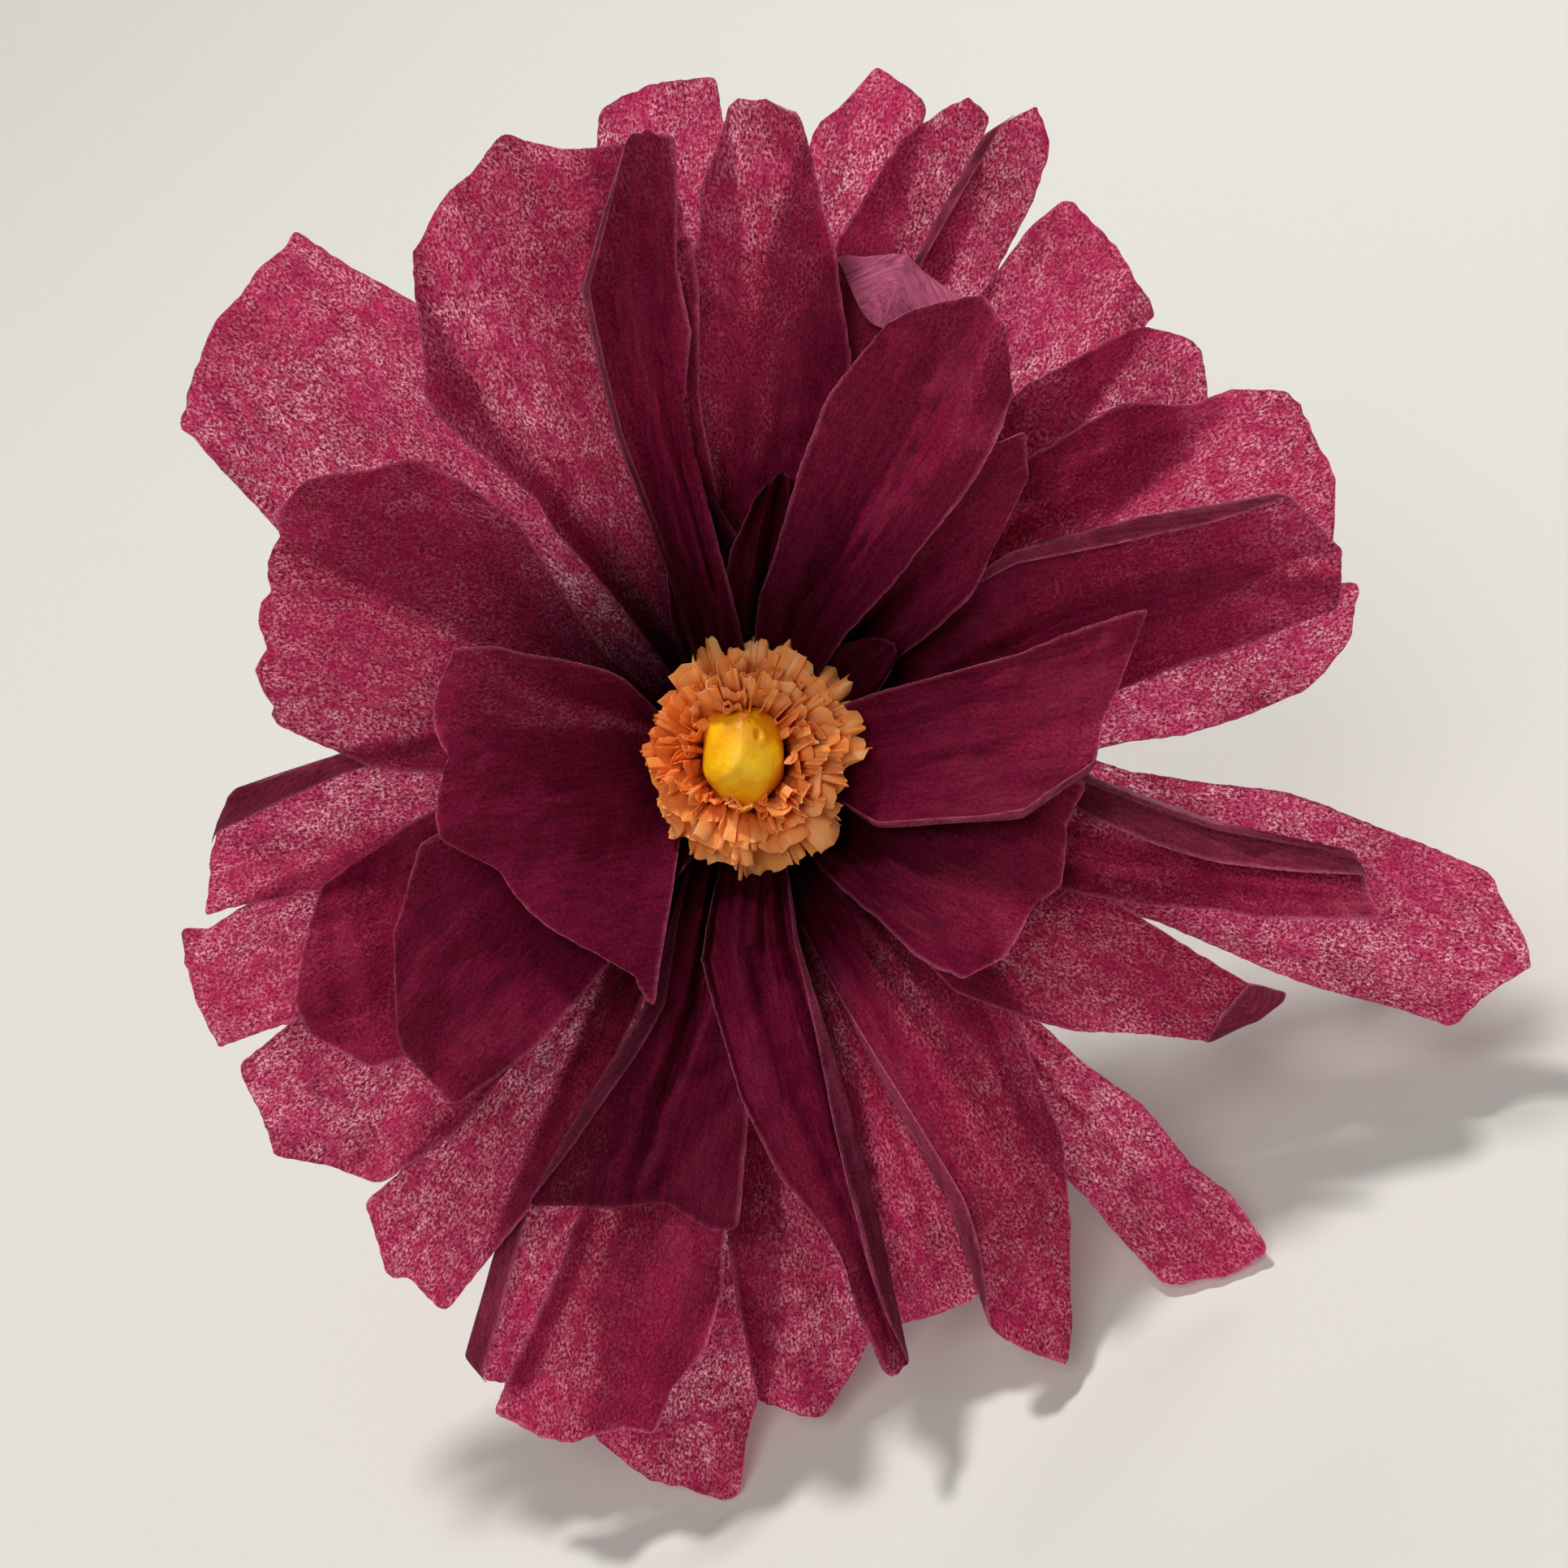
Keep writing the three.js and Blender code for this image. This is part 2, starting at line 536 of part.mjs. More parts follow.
const smooth = (t) => t * t * (3 - 2 * t);
for (const frill of frills) {
  const rows = [];
  const around = frill.waves * facetsPerWave;
  for (let i = 0; i < around; i += 1) {
    const turn = (2 * Math.PI * i) / around;
    const row = [];
    for (let j = 0; j <= frillSteps; j += 1) {
      const t = j / frillSteps;
      const ruffle = Math.sin(frill.waves * turn) * frill.sway * smooth(t);
      const lobe = Math.cos(frill.lobes * turn) * frill.lobe * t;
      const radius = THREE.MathUtils.lerp(frill.foot, frill.rim, t ** frill.flare) + lobe;
      const height = THREE.MathUtils.lerp(frill.low, frill.high, t ** frillRise);
      const out = radius + ruffle * ruffleOut;
      row.push(new THREE.Vector3(out * Math.cos(turn), out * Math.sin(turn), height - ruffle * ruffleDown));
    }
    rows.push(row);
  }
  addPiece(frill.name, sheetGeometry(rows, frillWall, true), apricot);
}

// Turned pieces, from half profiles of [radius, height]

const weld = 1e-4;
function turned(profile, sides) {
  const points = profile.map(([radius, height]) => new THREE.Vector2(radius, height));
  const geometry = new THREE.LatheGeometry(points, sides);
  geometry.deleteAttribute("normal");
  geometry.deleteAttribute("uv");
  geometry.rotateX(Math.PI / 2);
  return mergeVertices(geometry, weld);
}

const wireRadius = wireDiameter / 2;
const boreRadius = wireRadius + seatGap;
const tapeRadius = boreRadius + tapeWall;
const seatFoot = -seatHeight - seatTaper;

// Bud: an egg of paper drawn over a ball, a little dented at the top
const budSides = 20;
const budRings = 12;
const budProfile = [];
for (let k = 0; k <= budRings; k += 1) {
  const angle = (Math.PI * k) / budRings;
  const upper = Math.cos(angle) > 0 ? 1 : 0;
  const dent = upper * budDimple * Math.exp(-((Math.sin(angle) / dimpleSpread) ** 2));
  const radius = k === 0 || k === budRings ? 0 : Math.sin(angle) / 2;
  budProfile.push([radius, Math.cos(angle) * (budDepth / 2) - dent]);
}
const bud = addPiece("bud", turned(budProfile.reverse(), budSides), yellow);
bud.geometry.scale(budWidth, budHeight, 1);
bud.position.z = budTop - budDepth / 2;

// Wire, up to the foot of the bud
const wireTop = budFoot - seatGap;
addPiece("stem_wire", turned([
  [0, -stemLength], [wireRadius, -stemLength], [wireRadius, wireTop], [0, wireTop],
], wireSides), steel);

// Paper tape wound round the wire
addPiece("stem_tape", turned([
  [boreRadius, -stemLength + bareWire], [tapeRadius, -stemLength + bareWire],
  [tapeRadius, seatFoot - seatGap], [boreRadius, seatFoot - seatGap],
  [boreRadius, -stemLength + bareWire],
], wireSides), leafTape);

// Seat: tape wound into a bobbin with a tapered tail
const seatCone = [];
for (let k = 0; k <= seatSteps; k += 1) {
  const t = k / seatSteps;
  seatCone.push([THREE.MathUtils.lerp(tapeRadius, seatRadius, t ** seatHollow), seatFoot + seatTaper * t]);
}
addPiece("petal_seat", turned([
  [boreRadius, seatFoot], ...seatCone, [seatRadius, -seatShoulder],
  [seatRadius - seatShoulder, 0], [boreRadius, 0], [boreRadius, seatFoot],
], seatSides), leafTape);

// Laid down: of the flat places that the flower could rest on, the one that holds its
// weight and lies nearest to the side wanted
const restSide = THREE.MathUtils.degToRad(-66); // side of the head that goes down
const restBack = 0.4; // and how much of the way is towards the stem

head.updateMatrixWorld(true);
const corners = [];
const weight = new THREE.Vector3();
let volume = 0;
for (const piece of head.children) {
  const solid = piece.geometry.clone().applyMatrix4(piece.matrixWorld);
  const place = solid.attributes.position;
  const order = solid.index.array;
  const at = (k) => new THREE.Vector3().fromBufferAttribute(place, k);
  for (let k = 0; k < place.count; k += 1) corners.push(at(k));
  for (let k = 0; k < order.length; k += 3) {
    const [a, b, c] = [at(order[k]), at(order[k + 1]), at(order[k + 2])];
    const part = a.dot(b.clone().cross(c)) / 6;
    volume += part;
    weight.addScaledVector(a.add(b).add(c), part / 4);
  }
}
weight.divideScalar(volume);

function holdsWeight(face) {
  let edge = face.edge;
  do {
    const from = edge.tail().point;
    const along = edge.head().point.clone().sub(from);
    const inward = face.normal.clone().cross(along);
    if (inward.dot(weight.clone().sub(from)) < 0) return false;
    edge = edge.next;
  } while (edge !== face.edge);
  return true;
}

const wanted = new THREE.Vector3(Math.cos(restSide), Math.sin(restSide), -restBack).normalize();
const resting = new ConvexHull().setFromPoints(corners).faces.filter(holdsWeight)
  .sort((a, b) => b.normal.dot(wanted) - a.normal.dot(wanted))[0];
const down = resting.normal;
const away = new THREE.Vector3(0, 0, -1).projectOnPlane(down).normalize();
const right = away.clone().cross(down).negate();
head.applyMatrix4(new THREE.Matrix4().makeBasis(right, away, down.clone().negate()).transpose());
head.updateMatrixWorld(true);

const box = new THREE.Box3().setFromObject(head, true);
const middle = box.getCenter(new THREE.Vector3());
head.position.sub(new THREE.Vector3(middle.x, middle.y, box.min.z));
flower.add(head);

export default flower;
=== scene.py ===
import json
import math
import bpy
import numpy as np
from mathutils import Matrix, Vector


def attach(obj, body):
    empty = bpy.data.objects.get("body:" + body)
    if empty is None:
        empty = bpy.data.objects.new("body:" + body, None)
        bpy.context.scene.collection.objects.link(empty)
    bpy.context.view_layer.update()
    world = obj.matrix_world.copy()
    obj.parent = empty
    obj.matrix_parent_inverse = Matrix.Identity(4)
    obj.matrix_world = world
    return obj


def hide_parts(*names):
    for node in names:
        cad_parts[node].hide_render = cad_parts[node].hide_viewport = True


# A paper flower with a taped wire stem, lying on its side.
# Shapes are worked out in millimetres round the flower's own axis (local Z towards the viewer,
# local Y up as the open face is seen) and turned into the frame's metres when a mesh is made.

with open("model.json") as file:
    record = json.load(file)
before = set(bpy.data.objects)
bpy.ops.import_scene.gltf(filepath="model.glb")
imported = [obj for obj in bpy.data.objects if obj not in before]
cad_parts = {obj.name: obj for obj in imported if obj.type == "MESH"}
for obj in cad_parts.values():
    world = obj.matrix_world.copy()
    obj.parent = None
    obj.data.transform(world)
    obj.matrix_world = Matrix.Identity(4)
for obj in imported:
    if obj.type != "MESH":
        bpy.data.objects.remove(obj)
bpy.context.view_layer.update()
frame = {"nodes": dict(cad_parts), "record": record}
print("frame loaded,", len(frame["nodes"]), "pieces")


# The head's place: the stem's cut end and axis are in the record, and the bud, which is
# taller than it is wide, says which way is up
metre = 1000  # mm
stemLength = 185  # mm
mount = next(m for m in frame["record"]["mounts"] if m["name"] == "stem_end")
headZ = -np.array(mount["axis"])
datum = np.array(mount["pos_m"]) + headZ * stemLength / metre
budPlaces = np.array([v.co for v in frame["nodes"]["bud"].data.vertices])
budFlat = budPlaces - budPlaces.mean(0)
budFlat = budFlat - np.outer(budFlat @ headZ, headZ)
headY = np.linalg.svd(budFlat, full_matrices=False)[2][0]
headY = headY * np.sign(headY[2])
headX = np.cross(headY, headZ)
headTurn = np.stack([headX, headY, headZ])
headUp = headTurn[:, 2]  # the frame's up in the head's own directions
floorCorner = 0.8  # mm, radius of the bend of a sheet that meets the floor
floorClear = 0.2  # mm between the sheet's middle and the floor
sharpFrom = 50  # degrees between two faces that meet at a hard edge


# Local millimetres to the frame's metres
def inFrame(local):
    return datum + np.asarray(local, float) @ headTurn / metre


# A sheet that would sink into the floor bends along it: its height h over the floor becomes the
# logarithm of 1 + e to the h, which is h itself far above the floor and 0 far below
def bentUp(local):
    height = datum[2] * metre + local @ headUp
    raised = floorCorner * np.logaddexp(0, (height - floorClear) / floorCorner) + floorClear
    return local + (raised - height)[..., None] * headUp


# Smooth step from 0 to 1: 3 times the square less twice the cube
def smooth(t):
    t = np.clip(t, 0, 1)
    return t * t * (3 - 2 * t)


# The same over a span that begins at start
def ramp(value, start, span):
    return smooth((value - start) / span)


def lerp(a, b, t):
    return a + (b - a) * t


# Catmull-Rom curve through evenly spaced values, read at t from 0 to 1
def curveThrough(values, t):
    values = np.asarray(values, float)
    padded = np.concatenate([values[:1], values, values[-1:]])
    place = np.clip(t, 0, 1) * (len(values) - 1)
    k = np.minimum(place.astype(int), len(values) - 2)
    w = place - k
    before, here, after, beyond = (padded[k + step] for step in range(4))
    into = (after - before) / 2
    out = (beyond - here) / 2
    cubic = 2 * here - 2 * after + into + out
    square = 3 * after - 3 * here - 2 * into - out
    return (cubic * w + square) * w * w + into * w + here


# The counts of sines, the shares that spread their wavelengths, and how far a cut's end strays
sines = {"waves": 7, "wavesSpread": (0.7, 1.4), "wobble": 5, "wobbleSpread": (0.6, 1.6), "cutStray": 0.35}


# Sum of sines of about one wavelength in random directions, from about -1 to 1
def waves(x, y, wavelength, rng):
    total = 0
    for _ in range(sines["waves"]):
        angle, phase = rng.uniform(0, 2 * math.pi, 2)
        pace = 2 * math.pi / (wavelength * rng.uniform(*sines["wavesSpread"]))
        total = total + np.sin(pace * (x * math.cos(angle) + y * math.sin(angle)) + phase)
    return total / math.sqrt(sines["waves"])


# The same along one line, from about -height to height
def wobble(t, height, wavelength, rng):
    total = 0
    for _ in range(sines["wobble"]):
        pace = 2 * math.pi / (wavelength * rng.uniform(*sines["wobbleSpread"]))
        total = total + np.sin(pace * t + rng.uniform(0, 2 * math.pi))
    return height * (total / math.sqrt(sines["wobble"]))


# A line of straight cuts: random levels from -1 to 1 about one spacing apart, joined by straight
# lines
def cuts(t, spacing, rng):
    start = t.min() - spacing
    count = int((t.max() - start) / spacing) + 3
    stray = sines["cutStray"]
    knots = start + spacing * (np.arange(count) + rng.uniform(-stray, stray, count))
    return np.interp(t, knots, rng.uniform(-1, 1, count))


# Four corners of each square of a grid of m by n points
def gridFaces(m, n, closedRows=False, closedColumns=False):
    i = np.arange(m if closedRows else m - 1)[:, None]
    j = np.arange(n if closedColumns else n - 1)[None, :]
    nextRow = (i + 1) % m
    nextColumn = (j + 1) % n
    corners = [i * n + j, nextRow * n + j, nextRow * n + nextColumn, i * n + nextColumn]
    return np.stack(np.broadcast_arrays(*corners), -1).reshape(-1, 4)


# Makes an object of its points and faces, hangs it under the root body and hides the CAD piece
# that it stands for. For each point, uv holds the place on the flat paper in millimetres and
# shades other values that its material reads.
def addPiece(name, node, vertices, faces, materials, uv=None, slots=None, shades=None):
    mesh = bpy.data.meshes.new(name)
    mesh.from_pydata(inFrame(vertices).tolist(), [], faces.tolist())
    if uv is not None:
        layer = mesh.uv_layers.new(name="paper")
        layer.data.foreach_set("uv", uv[faces.ravel()].astype(np.float32).ravel())
    for shade, values in (shades or {}).items():
        layer = mesh.attributes.new(shade, "FLOAT", "POINT")
        layer.data.foreach_set("value", values.astype(np.float32).ravel())
    for material in materials:
        mesh.materials.append(material)
    if slots is not None:
        mesh.polygons.foreach_set("material_index", slots.astype(np.int32))
    mesh.update()
    mesh.shade_smooth()
    mesh.set_sharp_from_angle(angle=math.radians(sharpFrom))
    piece = bpy.data.objects.new(name, mesh)
    bpy.context.scene.collection.objects.link(piece)
    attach(piece, "root")
    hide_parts(node)


# A sheet of paper: a grid of points given half its thickness each way along its normals,
# with a rim all round
def sheetShell(points, thickness):
    along = np.gradient(points, axis=0)
    across = np.gradient(points, axis=1)
    normal = np.cross(along, across)
    normal /= np.maximum(np.linalg.norm(normal, axis=2, keepdims=True), 1e-9)
    m, n = points.shape[:2]
    half = normal * thickness / 2
    vertices = np.concatenate([points + half, points - half]).reshape(-1, 3)
    front = gridFaces(m, n)
    back = front[:, ::-1] + m * n
    edge = np.concatenate([np.arange(n), np.arange(1, m) * n + n - 1,
        (m - 1) * n + np.arange(n - 2, -1, -1), np.arange(m - 2, 0, -1) * n])
    follow = np.roll(edge, -1)
    rim = np.stack([edge, follow, follow + m * n, edge + m * n], 1)
    faces = np.concatenate([front, back, rim])
    slots = np.concatenate([np.zeros(len(front)), np.ones(len(back) + len(rim))])
    return vertices, faces, slots


# Colours are written as sRGB hex and turned to linear here
def linear(colour):
    channels = [int(colour[k:k + 2], 16) / 255 for k in (1, 3, 5)]
    return [c / 12.92 if c <= 0.04045 else ((c + 0.055) / 1.055) ** 2.4 for c in channels] + [1]


# Adds a node with its settings, and links or values for its sockets, by their names or in their
# own order. A node given for a socket stands for its first output in use.
def addNode(tree, kind, sockets=(), **settings):
    node = tree.nodes.new("ShaderNode" + kind)
    for name, value in settings.items():
        setattr(node, name, value)
    for name, value in sockets.items() if isinstance(sockets, dict) else enumerate(sockets):
        if isinstance(value, bpy.types.Node):
            value = next(output for output in value.outputs if output.enabled)
        if isinstance(value, bpy.types.NodeSocket):
            tree.links.new(value, node.inputs[name])
        else:
            node.inputs[name].default_value = value
    return node


# Leads several values through nodes of one kind, one after another
def chained(tree, kind, values, **settings):
    total = values[0]
    for value in values[1:]:
        total = addNode(tree, kind, [total, value], **settings)
    return total


def newMaterial(name):
    material = bpy.data.materials.new(name)
    material.use_nodes = True
    material.node_tree.nodes.clear()
    return material, material.node_tree


# Ends a material in paper: a face with fine bumps, and where light is given, a share that lets
# that colour of light through
def paperEnd(tree, bumps, strength, depth, colour, roughness, gloss, light=None, through=0):
    bump = addNode(tree, "Bump", {"Height": bumps, "Strength": strength, "Distance": depth})
    face = addNode(tree, "BsdfPrincipled", {"Base Color": colour, "Roughness": roughness,
        "Specular IOR Level": gloss, "Normal": bump})
    if light is not None:
        glow = addNode(tree, "BsdfTranslucent", {"Color": light, "Normal": bump})
        face = addNode(tree, "MixShader", [through, face, glow])
    addNode(tree, "OutputMaterial", {"Surface": face})


# Wine tissue paper: soft dyed fibres pressed into a thin sheet. It looks matt and deep wine where
# sheets lie over one another, darkened further there by painted shade, and a single sheet against
# the light glows pink, with pale flecks where the fibres are thin. Painted shade darkens its colour
# and gloss where the petals' feet crowd together, and its cut edge is a little paler.
tissue = {
    "clump": 0.42,  # mm across a clump of fibres
    "patch": 2.4,  # mm across a patch of thin fibres
    "stretch": 0.75,  # of the clumps along the sheet's grain
    "cloud": 13,  # mm across a thin or a thick cloud in the sheet
    "grain": 0.35,  # mm between the fine lines of the grain
    "grainLength": 6,  # times as long as they are apart
    "grainShare": 0.24,  # of the colour
    "bump": 0.00014,  # m
    "through": 0.7,  # share of the light that goes on through each face
    "throughEdge": 0.35,  # and at a cut edge
    "gathered": 0.1,  # of the colour that is left under the full painted shade where the feet crowd together
    "paintedLayerShadePaper": 0.95,  # of the colour that is left under full painted shade, on a sheet with others behind it
    "paintedLayerShadeLight": 0.42,  # of the light that comes through it
    "paintedLayerShadeFleck": 0.28,  # and of its flecks
    "front": "#c0285a",
    # The back is paler and greyer than the front: painted light, so that turned-over flaps look lit from the
    # front
    "back": "#c4456c",
    "ground": "#bc3063",  # colour of the light that comes through
    "fleck": "#ffdce6",
    "speck": 0.36,  # of the front's colour, between the fibres
    # The edge's paler colour also paints a whole flap pale, as painted light of a flap lit from the front
    "edge": "#c86a8c",
    "edgeShare": 0.6,  # of that colour at a cut edge
    "untinted": "#ffffff",
    "frontShine": 0.12,
    "backShine": 0.08,
    # A noise's values, from and to, and after them what they are led to
    "lines": (0.3, 0.7),
    "specks": (0.36, 0.64),
    "thick": (0.36, 0.5, 0.5, 1),
    "thin": (0.47, 0.64, 0, 1),
    "thinClouds": (0.38, 0.6, 0.4, 1.15),
    "thinPatches": (0.38, 0.6, 0.15, 1.3),
}


# The front's colour is the paper's, paler at the edge, times the grain, the specks and two painted
# shades: one where the feet crowd together and one where sheets lie behind. The colour that comes
# through it is the ground's with flecks, times how thin the sheet is and the same painted shades,
# and its gloss is dimmed by the painted shade at the feet. A range node takes a value, from, to,
# and two results.
def tissueMaterial(name, paper, ground, fleck, shine):
    material, tree = newMaterial(name)
    place = addNode(tree, "UVMap", uv_map="paper")
    drawn, lined = (addNode(tree, "Mapping", {"Vector": place, "Scale": (scale, 1, 1)})
        for scale in (tissue["stretch"], 1 / tissue["grainLength"]))
    fibres = addNode(tree, "TexNoise", {"Vector": drawn, "Scale": 1 / tissue["clump"], "Detail": 4,
        "Roughness": 0.7, "Distortion": 0.45})
    clouds = addNode(tree, "TexNoise", {"Vector": place, "Scale": 1 / tissue["cloud"], "Detail": 4,
        "Roughness": 0.6})
    grain = addNode(tree, "TexNoise", {"Vector": lined, "Scale": 1 / tissue["grain"] / 2, "Detail": 2,
        "Roughness": 0.5})
    patches = addNode(tree, "TexNoise", {"Vector": drawn, "Scale": 1 / tissue["patch"], "Detail": 3,
        "Roughness": 0.6, "Distortion": 0.6})
    paintedCrowdShade, paintedLayerShade, edge = (addNode(tree, "Attribute", attribute_name=shade).outputs["Fac"]
        for shade in ("paintedCrowdShade", "paintedLayerShade", "edge"))
    # Painted shade where the petals' feet crowd together dims the colour, the light through and the gloss
    gathered = addNode(tree, "MapRange", [paintedCrowdShade, 0, 1, 1, tissue["gathered"]])
    # Painted shade where other sheets lie behind dims the colour, the light through and the flecks
    paintedLayerShadePaper, paintedLayerShadeLight, paintedLayerShadeFleck = (addNode(tree, "MapRange", [paintedLayerShade, 0, 1, 1, tissue[key]])
        for key in ("paintedLayerShadePaper", "paintedLayerShadeLight", "paintedLayerShadeFleck"))
    streak, speck = (addNode(tree, "MapRange", [noise, *tissue[span], 1 - tissue[share], 1 + tissue[share]])
        for noise, span, share in ((grain, "lines", "grainShare"), (fibres, "specks", "speck")))
    thick, thin, thinClouds, thinPatches = (
        addNode(tree, "MapRange", [noise, *tissue[span]])
        for noise, span in ((fibres, "thick"), (fibres, "thin"), (clouds, "thinClouds"),
        (patches, "thinPatches")))
    flecks = chained(tree, "Math", [thin, thinClouds, thinPatches, paintedLayerShadeFleck], operation="MULTIPLY")
    paleEdgeOrPaintedLitFlap = chained(tree, "Math", [edge, tissue["edgeShare"]], operation="MULTIPLY")
    shade = chained(tree, "Math", [streak, speck, gathered, paintedLayerShadePaper], operation="MULTIPLY")
    light = chained(tree, "Math", [thick, gathered, paintedLayerShadeLight], operation="MULTIPLY")
    gloss = chained(tree, "Math", [gathered, shine], operation="MULTIPLY")
    front = addNode(tree, "Mix", {"Factor": paleEdgeOrPaintedLitFlap, "A": linear(paper), "B": linear(tissue["edge"])},
        data_type="RGBA")
    front = addNode(tree, "VectorMath", [front, shade], operation="MULTIPLY")
    behind = addNode(tree, "Mix", {"Factor": flecks, "A": linear(ground), "B": linear(fleck)},
        data_type="RGBA")
    behind = addNode(tree, "VectorMath", [behind, light], operation="MULTIPLY")
    share = addNode(tree, "MapRange", [edge, 0, 1, tissue["through"], tissue["throughEdge"]])
    paperEnd(tree, fibres, 0.6, tissue["bump"], front, 0.5, gloss, behind, share)
    return material


# The colour that comes through a sheet is all given to its front face, so its back lets light by
tissueFront = tissueMaterial("wineTissueFront", tissue["front"], tissue["ground"], tissue["fleck"],
    tissue["frontShine"])
tissueBack = tissueMaterial("wineTissueBack", tissue["back"], tissue["untinted"], tissue["untinted"],
    tissue["backShine"])
print("paper materials made")


# Petals: each is one sheet, narrow at its foot and cut by hand, glued to the seat. Lengths are in
# millimetres, and places are round the axis: aim is the direction in degrees anticlockwise from
# the right, ccw and cw the distances from the middle line to the two edges at even steps along
# it, tip how far the end lies from the axis at the ccw corner, the middle and the cw corner,
# rise the height of the tip over the foot, and fold a side that is turned over, with the
# width of its flap. scallops are the number and depth of the lobes that its end is cut in, deep
# is how dark the whole sheet is painted at least, as painted shade, and paintedLitFlap is 1 where its
# whole flap is painted pale, as painted light of a flap lit from the front.
seatRadius = 8.5
petalCut = {
    "seed": 100,  # of the first petal's random draws
    "spacing": 0.9,  # between the points of the surface
    "thickness": 0.12,
    "footWidth": 7,
    "seatGap": 0.3,
    "seatHeight": 23,
    "bow": 1.7,  # how early a petal rises
    "fan": 0.8,  # how far its sides follow the bowl
    "corner": 1.1,  # radius at the two corners of the end
    "cornerShare": 0.3,  # of the end's width at most
    "straight": 0.8,  # how far the sides and the end are cut straight
    "ragged": 1.6,  # that the end strays from its curve
    "cutLength": 7,  # of its straight cuts
    "fuzz": (0.08, 2.4),  # height and spacing of its torn fibres
    "endPower": 9,  # high keeps all that near the end
    "sideRagged": 1.3,  # the same for the sides
    "sideCutLength": 11,
    "sideFuzz": (0.06, 3),
    "sidePower": 6,
    "sheetRoom": 0.3,
    "feetGap": 0.45,  # clear of the petal below, at the feet
    "openGap": 1.5,  # and further out
    "openRadius": 30,
    "bend": 0.45,  # inside radius of a fold
    "flapOpen": 14,  # degrees that a flap stands open
    "paleEdge": 0.45,
    "layersDeep": 2,  # sheets behind another at which its painted shade is full
    "paintedCrowdShadeFrom": 14,  # from the axis where the feet stop touching and their painted shade starts to fade
    "paintedCrowdShadeTo": 54,  # and where the petals lie free, with no painted shade left
}
# Each ring's height of foot, and in millimetres how its petals stray from a smooth bowl: cup and
# stand raise the edges further out and near the foot, tilt raises one side, and broad, crease,
# gather and ripple are waves, folds, pleats and wavy edges. crowd is how dark its feet are
# painted, as painted shade where the petals crowd together, and leastPaintedCrowdShade how dark its whole
# sheets are painted at least.
ringNames = ("foot", "cup", "stand", "tilt", "broad", "crease", "gather", "gatherTo", "ripple", "paintedCrowdShade",
    "leastPaintedCrowdShade")
ringLook = {
    "back": (2, 2, 1.5, 2, 3, 3, 1.2, 60, 1.6, 1, 0),
    "outer": (5.5, 3, 2.5, 2.5, 3, 4.6, 1.6, 60, 1.6, 1, 0),
    "middle": (8.5, 4, 4.5, 3, 3, 5.2, 2.2, 65, 1.5, 1, 0),
    "front": (11, 4, 5, 3, 2.6, 5.2, 2.2, 60, 1.4, 0.95, 0),
    "pleat": (11, 2, 1, 1, 0.8, 1.6, 1.4, 110, 1, 1, 0.8),
    "throat": (14, 3, 3, 1, 2, 2.4, 1.4, 50, 1, 0.35, 0),
}
petalNames = ("aim", "rise", "ccw", "cw", "tip", "fold", "flap")
